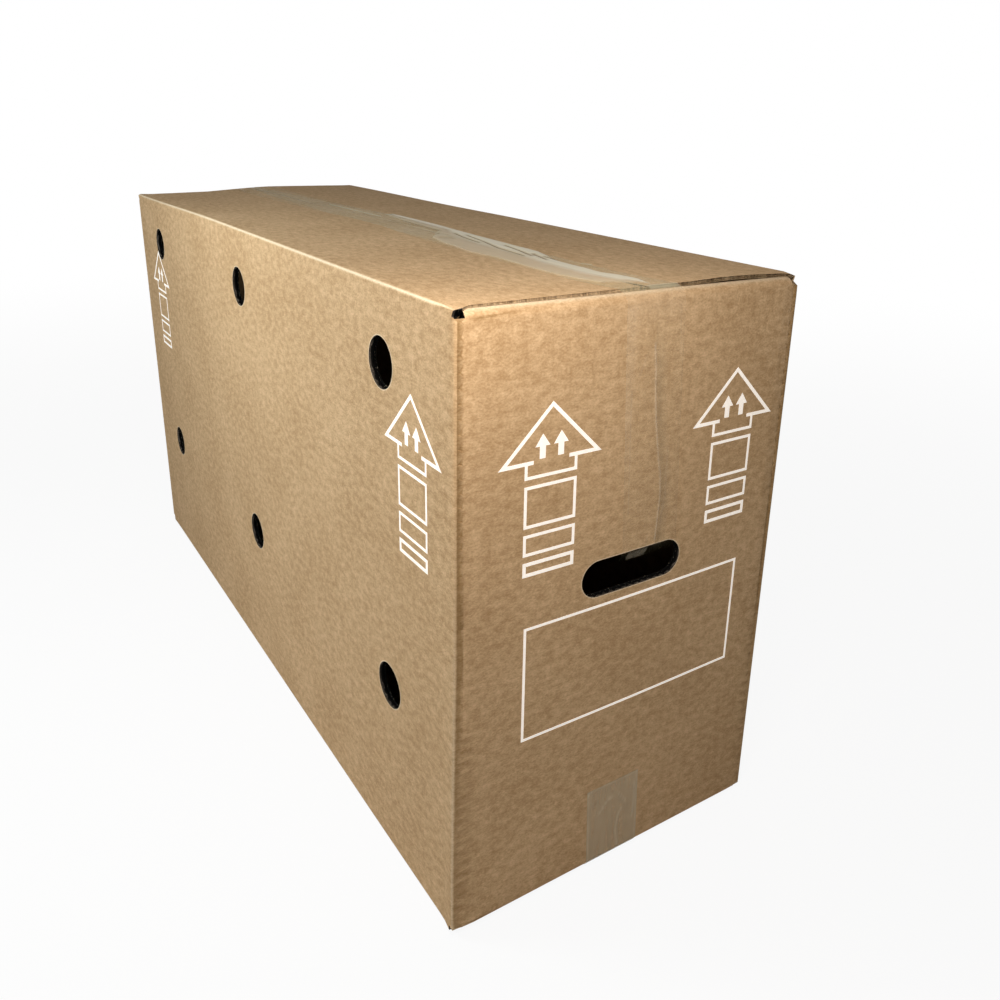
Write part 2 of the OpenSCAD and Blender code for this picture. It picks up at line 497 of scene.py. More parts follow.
# %% Let the box settle
def press_end(y, from_face, front_thin):
    """Moves near an end panel's level crease, away from the middle of the box. from_face is the distance
    from the box's top or bottom face. The flap's edge is crushed thinner, and the crease reaches it."""
    at_end = ramp(np.abs(y), *END_ZONE)
    thin = 1 - at_end * (1 - np.where(y < 0, front_thin, THIN_FAR))
    crushed = from_face * (1 - thin)
    raised = END_DROP * (1 - thin) * ramp(from_face, END_DROP + PRESS_FROM, END_DROP) ** 2
    return np.where(from_face < END_DROP - LAY_GAP / 2, crushed, raised)


def toward_outside(value, half, power):
    """0 at the middle of the box, rising late to 1 at its outside."""
    return np.clip(np.abs(value) / half, 0, 1) ** power


def settle(points):
    """Moves points, in millimetres, by what handling has done to the box there."""
    x, y, z = points.T
    moved = points.copy()
    height = hump(z, HALF_H, HALF_H)
    moved[:, 0] += np.sign(x) * SIDE_BELLY * height * hump(y, 0, HALF_L) * toward_outside(x, HALF_W, 3)
    moved[:, 1] += np.sign(y) * END_BELLY * height * hump(x, 0, HALF_W) * toward_outside(y, HALF_L, 9)
    moved[:, 2] += press_end(y, HEIGHT - z, np.interp(x, THIN_TOP["x"], THIN_TOP["thin"]))
    moved[:, 2] -= press_end(y, z, THIN_BOTTOM)
    sprung = SPRUNG * ramp(-y, *END_ZONE) * hump(x, *SPRUNG_ZONE)
    ridge = SEAM_RISE * hump(y, *SEAM_ZONE["y"]) * hump(x, *SEAM_ZONE["x"])
    ridge += np.interp(x, FAR_X, FAR_RISE) * hump(y, HALF_L, FAR_ZONE)
    ridge -= RIGHT_SAG * ramp(-y, 0, HALF_L) * ramp(x, 0, HALF_W) ** 2
    moved[:, 2] += ramp(z, *TOP_ZONE) * (ridge + sprung * (z > HEIGHT - END_DROP + LAY_GAP / 2))
    parted = SEAM_PARTED * ramp(-y, *PARTED_ZONE) * (z > HEIGHT - END_DROP)
    moved[:, 0] += np.sign(x) * parted * hump(x, 0, CORNER_ZONE)
    front_left = hump(x, -HALF_W, CORNER_ZONE) * hump(y, -HALF_L, CORNER_ZONE)
    moved[:, 0] += front_left * np.interp(z, CORNER_LEAN["z"], CORNER_LEAN["x"])
    moved[:, :2] += (BRUISE * front_left * hump(z, 0, BRUISE_HIGH))[:, None]
    knocked = TOP_BRUISE * hump(x, HALF_W, KNOCK_ZONE["x"]) * hump(y, -HALF_L, KNOCK_ZONE["y"])
    knocked *= hump(z, HEIGHT, KNOCK_ZONE["z"])
    moved[:, 2] -= knocked
    moved[:, 0] -= KNOCK_SIDE * knocked
    foot = FOOT_RISE * ramp(y, *FOOT_ZONE["y"]) * hump(x, -HALF_W, FOOT_ZONE["x"])
    moved[:, 2] += foot * hump(z, 0, FOOT_ZONE["z"])
    return moved


print("a point in the middle of the left side moves to", settle(np.array([[-HALF_W, 0, HALF_H]])).round(2))

# %% [markdown]
# ## Cutting the sheet out
# The outline has a slot at each crease, so that the flaps can fold past each other, and the glue tab at
# one end. The knife leaves a slightly ragged edge on the flaps. The vents and the hand holes are
# round-ended holes, and each one is a list of points too.

# %% Outline and holes
GRID = 9.0
RAGGED = 0.22
EDGE_STEP = 3.0
VENT_R = 17.5
VENT_FRONT = 96
VENT_FAR = 92
VENT_DOWN = (52, 293)
HAND_W = 86
HAND_H = 27
HAND_DOWN = 192
ragged_cut = random.Random(11)


def steps(first, last, size):
    """Evenly spaced values from first to last, at most size apart."""
    return np.linspace(first, last, max(2, math.ceil(abs(last - first) / size) + 1))


def cut_line(points):
    """The outline through these corners, with a point every few millimetres."""
    line = []
    for (a0, u0), (a1, u1) in zip(points, points[1:] + points[:1]):
        size = EDGE_STEP if a0 == a1 else GRID
        count = len(steps(0, math.hypot(a1 - a0, u1 - u0), size)) - 1
        for step in range(count):
            share = step / count
            shake = RAGGED * ragged_cut.uniform(-1, 1) if step and a0 == a1 else 0
            line.append((a0 + (a1 - a0) * share + shake, u0 + (u1 - u0) * share))
    return line


def edge_corners(slot_reach):
    """Corners of the sheet's upper or lower edge, from the glue tab to the raw edge. A slot ends narrower
    by a share of how far the long flap beside it was pulled."""
    tab = panels["glue_tab"]
    corners = [(0, HALF_H - TAB_IN - TAB_TAPER), (tab.length, HALF_H - TAB_IN), (tab.length, SLOT_UP)]
    for panel in list(panels.values())[1:]:
        first = panel.along + SLOT_SIDE
        last = panel.along + min(panel.length, (LENGTH if panel.runs[1] else WIDTH) - 2 * FOLD) - SLOT_SIDE
        into = slot_reach * CORNER_REACH.get(panel.name, 0)
        corners += [(first - into, SLOT_UP), (first, SLOT_UP + SLOT_STEP), (first, panel.flap_top)]
        corners += [(last, panel.flap_top), (last, SLOT_UP + SLOT_STEP), (last + into, SLOT_UP)]
    return corners + [(SHEET_LONG, SLOT_UP)]


outline = cut_line(edge_corners(SLOT_REACH)[::-1] + [(along, -up) for along, up in edge_corners(0)])

vent_ys = np.linspace(VENT_FRONT - HALF_L, HALF_L - VENT_FAR, 3)
round_holes = []
for name, x in (("left_side", -HALF_W), ("right_side", HALF_W)):
    round_holes += [(panels[name].at(x, y), HALF_H - down, 0, VENT_R) for y in vent_ys for down in VENT_DOWN]
for name, y in (("far_end", HALF_L), ("front_end", -HALF_L)):
    round_holes.append((panels[name].at(0, y), HALF_H - HAND_DOWN, (HAND_W - HAND_H) / 2, HAND_H / 2))


def hole_line(hole, step):
    """Points around a hole with round ends, clockwise on the sheet's face."""
    along, up, straight, radius = hole
    arc = steps(0, math.pi, step / radius)
    ends = [(along + side * (straight + radius * np.sin(arc)), up + side * radius * np.cos(arc))
            for side in (1, -1)]
    line = []
    for (a, u), side in zip(ends, (1, -1)):
        line += list(zip(a, u))
        if straight:
            far = along - side * straight
            line += [(across, up - side * radius) for across in steps(a[-1], far, step)[1:-1]]
        else:
            line.pop()
    return line


# The pale rim around each hole: partly the cut's wear, partly a painted highlight.
RIM = 0.9
hole_lines = [hole_line(hole, 2.2) for hole in round_holes]
rims = [hole_line((*hole[:3], hole[3] + RIM), 2.2) for hole in round_holes]
print(f"outline of {len(outline)} points, {len(hole_lines)} holes")

# %% [markdown]
# Next the sheet is filled with faces. A grid of points, close together across the creases and wider on
# the flat, is joined with the outline and the holes by a Delaunay triangulation, which makes the roundest
# triangles that it can. A ring of points close around each hole carries its pale rim, partly the cut's
# wear and partly a painted highlight. Faces in a slot or a hole are then thrown away.

# %% Fill the sheet with faces
CREASE_STEPS = 16
ROW_IN = 1.5


def grid_points():
    """Points over every panel, its flaps and the upright creases."""
    found = []
    for panel in panels.values():
        columns = steps(panel.along, panel.along + panel.length, GRID)
        crease = steps(panel.hinge, panel.hinge + CREASE, CREASE / CREASE_STEPS)
        flap = steps(panel.hinge + CREASE, panel.flap_top, GRID)
        wall = steps(-panel.hinge, panel.hinge, GRID)
        rows = np.concatenate([-flap[:0:-1], -crease[::-1], wall[1:-1], crease, flap[1:]])
        found.append(np.stack(np.meshgrid(columns, rows), -1).reshape(-1, 2))
        upright = steps(panel.along - CREASE, panel.along, CREASE / CREASE_STEPS)[1:-1]
        end = SLOT_UP - ROW_IN
        rows = np.concatenate([[-end], steps(-SLOT_UP, SLOT_UP, GRID)[1:-1], [end]])
        if panel.along > 0:
            found.append(np.stack(np.meshgrid(upright, rows), -1).reshape(-1, 2))
    return np.concatenate(found)


def inside(points, line):
    """Which points lie inside a closed line."""
    x, y = points.T
    odd = np.zeros(len(points), bool)
    for (x0, y0), (x1, y1) in zip(line, line[1:] + line[:1]):
        if y0 != y1:
            odd ^= ((y0 > y) != (y1 > y)) & (x < x0 + (y - y0) / (y1 - y0) * (x1 - x0))
    return odd


def distance_to(points, line):
    """Distance from each point to a closed line."""
    nearest = np.full(len(points), 1e9)
    for start, end in zip(line, line[1:] + line[:1]):
        start, run = np.array(start), np.array(end) - start
        share = np.clip((points - start) @ run / max(run @ run, 1e-9), 0, 1)
        nearest = np.minimum(nearest, np.linalg.norm(points - start - np.outer(share, run), axis=1))
    return nearest


NEAR_CUT = 1.2
HOLE_ZONE = 80
all_lines = [outline, *hole_lines]
grid = grid_points()
keep = inside(grid, outline) & (distance_to(grid, outline) > NEAR_CUT)
for line, hole in zip(hole_lines, round_holes):
    near = np.abs(grid[:, 0] - hole[0]) < HOLE_ZONE
    keep[near] &= ~inside(grid[near], line) & (distance_to(grid[near], line) > 2 * NEAR_CUT)
cut_points = []
cut_edges = []
for line in all_lines:
    first = len(cut_points)
    cut_points += line
    cut_edges += [(first + i, first + (i + 1) % len(line)) for i in range(len(line))]
flat_points = np.concatenate([np.array(cut_points), *map(np.array, rims), grid[keep]])
made = delaunay_2d_cdt([Vector(p) for p in flat_points], cut_edges, [], 0, 1e-5)
sheet_points = np.array([tuple(p) for p in made[0]])
faces = np.array([face for face in made[2] if len(face) == 3])
middles = sheet_points[faces].mean(1)
keep = inside(middles, outline)
for line in hole_lines:
    keep &= ~inside(middles, line)
sheet_faces = faces[keep]
print(f"sheet: {len(sheet_points)} points, {len(sheet_faces)} faces")

# %% [markdown]
# ## The cut edge
# Double-wall board is three liners with two wavy layers between them. Where the board is cut, the liners'
# edges show as three pale lines, with dark gaps between them. So each cut edge gets a small stepped
# profile: a liner's edge, a gap that goes in, the middle liner, a second gap, and the last liner's edge.
# On the flaps the knife has pressed the layers together, so the gaps are shallower there, most of all on
# the left ones.

# %% Edges of the board
LINER = 0.45
MID_LINER = (2.6, 3.05)
MID_BACK = 0.2
GAP_DEEP = 1.7
FRAY = 0.45
FLAP_GAP = 0.8
PRESSED_GAP = 0.12
edge_profile = [(0, 0), (0, LINER),
                (GAP_DEEP, LINER), (GAP_DEEP, MID_LINER[0]),
                (MID_BACK, MID_LINER[0]), (MID_BACK, MID_LINER[1]),
                (GAP_DEEP, MID_LINER[1]), (GAP_DEEP, BOARD - LINER),
                (0, BOARD - LINER), (0, BOARD)]


def boundary_loops(faces):
    """The edges with a face on one side only, chained into closed loops with the sheet on their left."""
    directed = {(face[i], face[(i + 1) % 3]) for face in faces.tolist() for i in range(3)}
    after = {first: last for first, last in directed if (last, first) not in directed}
    loops = []
    while after:
        start, point = after.popitem()
        loop = [start]
        while point != start:
            loop.append(point)
            point = after.pop(point)
        loops.append(loop)
    return loops


def into_sheet(line):
    """Unit vectors that point into the sheet from each point of a closed line with the sheet on its left."""
    runs = np.roll(line, -1, axis=0) - line
    sides = np.stack([-runs[:, 1], runs[:, 0]], 1)
    sides /= np.maximum(np.linalg.norm(sides, axis=1, keepdims=True), 1e-9)
    joined = sides + np.roll(sides, 1, axis=0)
    return joined / np.maximum((joined ** 2).sum(1, keepdims=True) / 2, 0.5)


# The last kind is the crushed wall of the holes and corner slots, darkened by painted shade.
KRAFT, INNER_KRAFT, CUT_LINER, MEDIUM, TORN, SHADED_HOLE_WALL = range(6)

# %% [markdown]
# Every point of the mesh also carries how pale and how dark the paper is there. The pale values are
# partly wear, where knocked edges turn pale as the brown skin of the liner breaks, and partly painted
# highlights, on the rolled creases, on the lower part of the upright creases and around the holes. The
# dark values are painted shade: a band beside each upright crease, in its groove, and a line across each
# end panel's rolled creases near one corner. A place across a crease is given from 0, where the crease
# begins, to 1, where it ends.

# %% Wear, painted highlights and painted shade
# Pale: wear with painted highlights on the creases. Dark: painted shade beside and across the creases.
ROLL_WEAR_HIGHLIGHT = 0.65
RIDGE_WEAR_HIGHLIGHT = 0.55
SCORE_SHADE = 1.4
SCORE_RUN = 58
SCORE_LINE = {"start": 0.21, "drift": 0.18, "run": 41, "width": 0.06}
ROLL_BAND = (0.85, 0.4)
SIDE_BAND = (0.5, 0.075)
RIDGE_BAND = (0.5, 0.06)
RIDGE_LOW = 0.6
UPRIGHT_ZONE = 15
DARK_START = (0.58, 0.63)
DARK_FADE = 0.05
DARK_BAND = {"up": (-HALF_H, -90, 0, 80, HALF_H), "end": (0.97, 1.0, 1.0, 0.94, 0.86),
             "strength": (0.5, 0.6, 0.8, 0.9, 1.0)}


def hole_distance(along, up, hole):
    """Distance from places on the sheet to a hole's edge, less than 0 inside it."""
    middle, middle_up, straight, radius = hole
    return np.hypot(np.maximum(np.abs(along - middle) - straight, 0), up - middle_up) - radius


def wear_and_painted_light(sheet):
    """How pale and how dark the paper is at places on the sheet, each from 0 to 1: the pale for wear and
    painted highlights, the dark for painted shade in the creases.
    """
    along, up, depth = sheet.T
    wear_and_highlight = np.zeros(len(sheet))
    crease_shade = np.zeros(len(sheet))
    for panel in panels.values():
        mine = (along >= panel.along) & (along <= panel.along + panel.length)
        turned = (np.abs(up) - panel.hinge) / CREASE
        if panel.is_end:
            # Paler along the end panel's rolled crease: partly wear, partly a painted highlight.
            wear_and_highlight += mine * ROLL_WEAR_HIGHLIGHT * hump(turned, *ROLL_BAND)
            # Painted shade: a dark line across the rolled crease near one corner of the panel.
            scored = SCORE_LINE["start"] + SCORE_LINE["drift"] * (along - panel.along) / SCORE_LINE["run"]
            line = band(turned, scored, SCORE_LINE["width"])
            crease_shade += mine * SCORE_SHADE * line * hump(along, panel.along, SCORE_RUN)
        else:
            # Paler along the long panels' level creases: partly wear, partly a painted highlight.
            wear_and_highlight += mine * band(turned, *SIDE_BAND)
        turned = (along - panel.along + CREASE) / CREASE
        from_side = turned if panel.is_end else 1 - turned
        from_ridge = np.abs(along - panel.along + CREASE / 2)
        upright = (np.abs(up) < SLOT_UP + 1) & (from_ridge < UPRIGHT_ZONE + CREASE / 2)
        # Painted shade: a darker band on the end panel's side of each upright crease.
        ends = np.interp(up, DARK_BAND["up"], DARK_BAND["end"])
        dark = ramp(from_side, *DARK_START) * ramp(from_side, ends, ends - DARK_FADE)
        crease_shade += upright * dark * np.interp(up, DARK_BAND["up"], DARK_BAND["strength"])
        # A paler line on the lower part of each upright crease: partly wear, partly a painted highlight.
        wear_and_highlight += upright * RIDGE_WEAR_HIGHLIGHT * np.clip(RIDGE_LOW - up / HALF_H, 0, 1) * band(from_side, *RIDGE_BAND)
    # A paler rim around each hole: partly the cut's wear, partly a painted highlight.
    for hole in round_holes:
        wear_and_highlight += np.abs(hole_distance(along, up, hole)) < RIM / 2
    return np.clip(wear_and_highlight, 0, 1), np.clip(crease_shade, 0, 1)


on_crease = np.array([[panels["left_side"].along + 300, HALF_H - FOLD + CREASE / 2, 0]])
print("worn on the left top crease:", wear_and_painted_light(on_crease)[0])


# %% [markdown]
# Each piece is collected as points, faces and the finish of each face, and only then made into a Blender
# mesh. The places on the sheet go along as its UV map, and the wear with its painted highlights and the
# painted shade go along as values on its points, which the finishes can read.

# %% Collect a mesh
def carry(mesh, title, values):
    """Puts one value on each point of a mesh, for a finish to read."""
    mesh.attributes.new(title, "FLOAT", "POINT").data.foreach_set("value", values.astype(np.float32))


class Mesh:
    """Collects points, faces, materials and places on the sheet, and makes one object of them."""

    def __init__(self):
        self.points = []
        self.faces = []
        self.kinds = []
        self.sheet = []
        self.count = 0

    def add_points(self, along, up, depth):
        """Adds points given on the flat sheet. Gives the number of the first one."""
        along, up, depth = as_rows(along, up, depth)
        first = self.count
        self.points.append(fold(along, up, depth))
        self.sheet.append(np.stack([along, up, depth], 1))
        self.count += len(along)
        return first

    def add_faces(self, faces, kind):
        self.faces += [tuple(face) for face in np.asarray(faces).tolist()]
        self.kinds += np.broadcast_to(kind, len(faces)).tolist()

    def strip(self, first, second, kind, closed):
        """Quads between two rows of points, given by their numbers."""
        first, second = np.asarray(first), np.asarray(second)
        if closed:
            first, second = np.append(first, first[0]), np.append(second, second[0])
        self.add_faces(np.stack([first[:-1], first[1:], second[1:], second[:-1]], 1), kind)

    def make(self, name, finishes, sharp=35):
        """The object, with its points settled, in metres. sharp is the angle of a hard edge, in degrees."""
        mesh = bpy.data.meshes.new(name)
        points = settle(np.concatenate(self.points)) * MM
        mesh.from_pydata(points.tolist(), [], self.faces)
        for finish in finishes:
            mesh.materials.append(finish)
        mesh.polygons.foreach_set("material_index", self.kinds)
        corners = np.zeros(len(mesh.loops), np.int32)
        mesh.loops.foreach_get("vertex_index", corners)
        sheet = np.concatenate(self.sheet)
        places = mesh.uv_layers.new(name="sheet")
        places.data.foreach_set("uv", (sheet[corners][:, :2] * MM).astype(np.float32).ravel())
        # Wear with painted highlights, the painted crease shade, and the depth in the board.
        for title, values in zip(("wear_and_highlight", "crease_shade", "deep"), (*wear_and_painted_light(sheet), sheet[:, 2] / BOARD)):
            carry(mesh, title, values)
        self.join_triangles(mesh)
        mesh.shade_smooth()
        mesh.set_sharp_from_angle(angle=math.radians(sharp))
        mesh.validate()
        return place_object(name, mesh)

    def join_triangles(self, mesh):
        """Joins pairs of flat triangles, so that smooth shading doesn't show how each pair was split."""
        work = bmesh.new()
        work.from_mesh(mesh)
        flat = [face for face in work.faces if len(face.verts) == 3]
        bmesh.ops.join_triangles(work, faces=flat, cmp_materials=True,
                                 angle_face_threshold=math.radians(25),
                                 angle_shape_threshold=math.radians(50))
        work.to_mesh(mesh)
        work.free()


# %% [markdown]
# The board's two faces are the same triangles, folded once at depth 0 and once at the board's thickness.
# Rows of quads between them, along every cut, follow the stepped profile. The knife's fraying shifts them
# a little.
#
# Each row of the profile knows what it shows: a liner's edge or the gap beside it. In the holes, and in
# the slots at the top corners, both are the same crushed wall, grey and darkened by painted shade towards
# the inside.

# %% Build the board
board = Mesh()
outer = board.add_points(sheet_points[:, 0], sheet_points[:, 1], 0)
inner = board.add_points(sheet_points[:, 0], sheet_points[:, 1], BOARD)
board.add_faces(sheet_faces + outer, KRAFT)
board.add_faces(sheet_faces[:, ::-1] + inner, INNER_KRAFT)
loops = boundary_loops(sheet_faces)
frayed = np.random.default_rng(7)
longest = max(len(loop) for loop in loops)
for loop in loops:
    line = sheet_points[loop]
    inward = into_sheet(line)
    in_hole = len(loop) < longest
    level = np.abs(line[:, 1])
    # The walls of the corner slots get the hole walls' finish, with its painted shade.
    in_slot = (level > SLOT_UP - 0.5) & (level < HALF_H + 2) & (line[:, 0] < front.along + GRID)
    left = panels["left_side"]
    pressed = np.abs(line[:, 0] - left.along - left.length / 2) < left.length / 2 + 1
    gap = 1 if in_hole else np.where(pressed, PRESSED_GAP, FLAP_GAP)[:, None]
    rows = [np.array(loop) + outer]
    for deep, depth in edge_profile[1:-1]:
        fray = frayed.uniform(0, FRAY, len(loop))[:, None] if 0 < depth < BOARD - LINER else 0
        placed = line + inward * (deep * gap + fray)
        first = board.add_points(placed[:, 0], placed[:, 1], depth)
        rows.append(np.arange(first, first + len(loop)))
    rows.append(np.array(loop) + inner)
    for step, (near, far) in enumerate(zip(rows, rows[1:])):
        edge_kind = CUT_LINER if step % 4 == 0 else MEDIUM
        board.strip(far, near, np.where(in_slot | in_hole, SHADED_HOLE_WALL, edge_kind), True)
print(f"{len(loops)} cut edges, {len(board.faces)} faces")

# %% [markdown]
# The wavy layers show in the vents and the hand holes, where the cut runs across them. Each is a thin
# ribbon that goes up and down between two liners, one wave every few millimetres along the sheet, with
# its crests upright on the walls. Only a few millimetres next to each cut can be seen, so only those are
# made. Along the sides of the long flaps the knife ran with the waves and tore them, so ragged strips of
# both layers stand there.

# %% Wavy layers beside the cuts
WAVES = [{"middle": 1.525, "pitch": 5.6}, {"middle": 4.05, "pitch": 6.6}]
WAVE_HIGH = 0.88
PAPER = 0.2
RIBBON_DEEP = (0.15, 1.65)
RIBBON_STEP = 1.1
TORN_STEP = 1.5
TORN_DEEP = 1.5
TORN_IN = (-0.25, 0.7)
TORN_RISE = 0.8


def add_ribbon(line, inward, wave):
    """A strip of one wavy layer along a hole's cut, as a thin closed solid."""
    rows = []
    for side in (-1, 1):
        for deep in RIBBON_DEEP[::side]:
            along, up = (line + inward * deep).T
            height = wave["middle"] + WAVE_HIGH * np.sin(along / wave["pitch"] * 2 * math.pi)
            first = board.add_points(along, up, height - side * PAPER / 2)
            rows.append(np.arange(first, first + len(line)))
    for near, far in zip(rows, rows[1:] + rows[:1]):
        board.strip(near, far, SHADED_HOLE_WALL, True)


for hole in round_holes:
    line = np.array(hole_line(hole, RIBBON_STEP))
    inward = into_sheet(line)
    for wave in WAVES:
        add_ribbon(line, inward, wave)


def add_torn_edge(panel, along, inward, side, wave, shake):
    """The wavy layer along a flap's side, where the knife ran with the waves and tore them."""
    up = steps(panel.hinge + CREASE / 2, panel.flap_top - 1, TORN_STEP) * side
    deep = np.array([shake.uniform(*TORN_IN) for _ in up])
    rise = np.array([shake.uniform(-TORN_RISE, TORN_RISE) for _ in up])
    rows = []
    for face in (-1, 1):
        for reach in (0, 1)[::face]:
            height = wave["middle"] + rise * (1 - 0.5 * reach) - face * PAPER / 2
            first = board.add_points(along + inward * (deep + TORN_DEEP * reach), up, height)
            rows.append(np.arange(first, first + len(up)))
    for near, far in zip(rows, rows[1:] + rows[:1]):
        board.strip(near, far, TORN, False)
    for end in (0, -1):
        board.add_faces([[row[end] for row in rows]], TORN)


tearing = random.Random(5)
for name in ("left_side", "right_side"):
    panel = panels[name]
    last = panel.along + LENGTH - 2 * FOLD - SLOT_SIDE
    for side in (-1, 1):
        for wave in WAVES:
            add_torn_edge(panel, panel.along + SLOT_SIDE, 1, side, wave, tearing)
            add_torn_edge(panel, last, -1, side, wave, tearing)
print(f"with the wavy layers: {len(board.faces)} faces")

# %% [markdown]
# ## Kraft paper
# Brown kraft liner is made of long fibres, and the makers' machine lays them more along the sheet than
# across it. It is cloudy at the scale of a fingertip, speckled at the scale of a hair, and never glossy.
# The wavy layer under it shows through as faint upright bars, as bumps and as a little painted shade in
# its colour. All of this follows the sheet and not the room, so the textures read the place on the flat
# sheet, which each mesh carries as its UV map.

# %% Node groups for paper
FIBRE_STRETCH = 0.62


def build_fibre_clouds():
    """Cloudy and speckled paper: a shade around 0.5, and a height for bumps."""
    tree, given, out = new_group(
        "fibre_clouds",
        [("Sheet", "Vector", None), ("Cloud Size", "Float", 9.0), ("Speckle Size", "Float", 1.2)],
        [("Shade", "Float"), ("Height", "Float")])
    stretched = add(tree, "VectorMath", {"operation": "MULTIPLY"})
    tree.links.new(given["Sheet"], stretched.inputs[0])
    stretched.inputs[1].default_value = (FIBRE_STRETCH, 1.0, 1.0)
    place = stretched.outputs[0]
    cloud_scale = sums(tree, "DIVIDE", 1000.0, given["Cloud Size"])
    clouds = add(tree, "TexNoise", None, Vector=place, Scale=cloud_scale, Detail=4.0, Roughness=0.62)
    speckle_scale = sums(tree, "DIVIDE", 1000.0, given["Speckle Size"])
    speckles = add(tree, "TexNoise", None, Vector=place, Scale=speckle_scale, Detail=3.0, Roughness=0.7)
    wide = add(tree, "TexNoise", None, Vector=given["Sheet"], Scale=14.0, Detail=2.0)
    shade = sums(tree, "MULTIPLY_ADD", clouds.outputs["Fac"], 0.5, -0.25)
    shade = sums(tree, "MULTIPLY_ADD", speckles.outputs["Fac"], 0.5, shade)
    shade = sums(tree, "MULTIPLY_ADD", wide.outputs["Fac"], 0.16, sums(tree, "ADD", shade, 0.17))
    tree.links.new(shade, out["Shade"])
    tree.links.new(speckles.outputs["Fac"], out["Height"])
    return tree


def build_flute_bars():
    """Faint bars where the liner sinks between the crests of the wavy layer under it: a height for
    bumps, and a painted shade of the bars for a paper's colour.
    """
    tree, given, out = new_group(
        "flute_bars",
        [("Sheet", "Vector", None), ("Pitch", "Float", 6.2)],
        [("Height", "Float"), ("Mask", "Float")])
    split = add(tree, "SeparateXYZ", None, Vector=given["Sheet"]).outputs
    turns = sums(tree, "DIVIDE", sums(tree, "MULTIPLY", split[0], 1000.0 * 2 * math.pi), given["Pitch"])
    wave = sums(tree, "SINE", turns)
    patches = add(tree, "TexNoise", None, Vector=given["Sheet"], Scale=9.0, Detail=1.0)
    strength = rescale(tree, patches.outputs["Fac"], 0.35, 0.65, 0.25, 1.0)
    tree.links.new(sums(tree, "MULTIPLY", wave, strength), out["Height"])
    tree.links.new(sums(tree, "MULTIPLY_ADD", wave, 0.5, 0.5), out["Mask"])
    return tree


fibre_clouds = build_fibre_clouds()
flute_bars = build_flute_bars()
print("node groups:", [group.name for group in (fibre_clouds, flute_bars)])

# %% [markdown]
# One more group turns a paper's colour paler for wear and painted highlights, and darker for painted
# shade. The fibres break up the pale places, so they end in specks and not in a soft blur.

# %% Node group for wear, painted highlights and painted shade on paper
# The pale colour of wear and painted highlights, and the tint of the painted crease shade.
WORN_AND_HIGHLIT_PAPER = srgb(250, 230, 196)
CREASE_SHADE_TINT = srgb(192, 184, 164)


def build_paper_wear_and_light():
    """A paper's colour with its wear, its painted highlights and its painted shade."""
    tree, given, out = new_group(
        "paper_wear_and_light",
        [("Colour", "Color", None), ("Worn", "Float", 0.0), ("Soiled", "Float", 0.0),
         ("Fibres", "Float", 0.5)],
        [("Colour", "Color")])
    broken = rescale(tree, given["Fibres"], 0.3, 0.62, 0.6, 1.0)
    # Painted shade darkens the colour in the creases.
    darker = mix_colours(tree, given["Soiled"], given["Colour"], CREASE_SHADE_TINT, "MULTIPLY")
    # Wear and painted highlights turn it paler.
    paler = mix_colours(tree, sums(tree, "MULTIPLY", given["Worn"], broken), darker, WORN_AND_HIGHLIT_PAPER)
    tree.links.new(paler, out["Colour"])
    return tree


paper_wear_and_light = build_paper_wear_and_light()
print("node group:", paper_wear_and_light.name)

# %% [markdown]
# Six finishes share these groups. The printed face is the lightest brown. The inner face is the same
# paper, a little duller. The liners' cut edges are pale and torn, and the wavy layer is a darker, greyer
# paper. In the holes the die has crushed the layers together, so their walls are grey behind the outer
# liner, and painted shade takes them to nearly black towards the inside. The pale specks on them are
# partly fibres and partly painted glints.

# %% Kraft finishes
def attribute(tree, name):
    """A value that the mesh carries on its points."""
    return add(tree, "Attribute", {"attribute_name": name}).outputs["Fac"]


def place_on_sheet(tree):
    """Where on the flat sheet the surface lies, in metres."""
    return add(tree, "UVMap", {"uv_map": "sheet"}).outputs[0]


def paper_finish(name, dark, light, cloud_size, bump, flutes):
    """A kraft paper that goes from a dark to a light colour with its clouds."""
    finish, tree, shader = new_material(name)
    sheet = place_on_sheet(tree)
    clouds = place_group(tree, fibre_clouds, Sheet=sheet, Cloud_Size=cloud_size)
    bars = place_group(tree, flute_bars, Sheet=sheet)
    # The bars' painted shade, added to the paper's colour.
    shade = sums(tree, "MULTIPLY_ADD", bars["Mask"], 0.06 * flutes, clouds["Shade"])
    share = rescale(tree, shade, 0.3, 0.74)
    colour = mix_colours(tree, share, dark, light)
    # Wear with its painted highlights, and the painted crease shade, as the mesh carries them.
    colour = place_group(tree, paper_wear_and_light, Colour=colour, Worn=attribute(tree, "wear_and_highlight"),
                         Soiled=attribute(tree, "crease_shade"), Fibres=clouds["Height"])["Colour"]
    feed(tree, shader.inputs["Base Color"], colour)
    feed(tree, shader.inputs["Roughness"], rescale(tree, clouds["Height"], 0.3, 0.7, 0.78, 0.92))
    shader.inputs["Specular IOR Level"].default_value = 0.1
    height = sums(tree, "MULTIPLY_ADD", bars["Height"], flutes, clouds["Height"])
    add_bumps(tree, shader, height, bump, 0.6)
    return finish


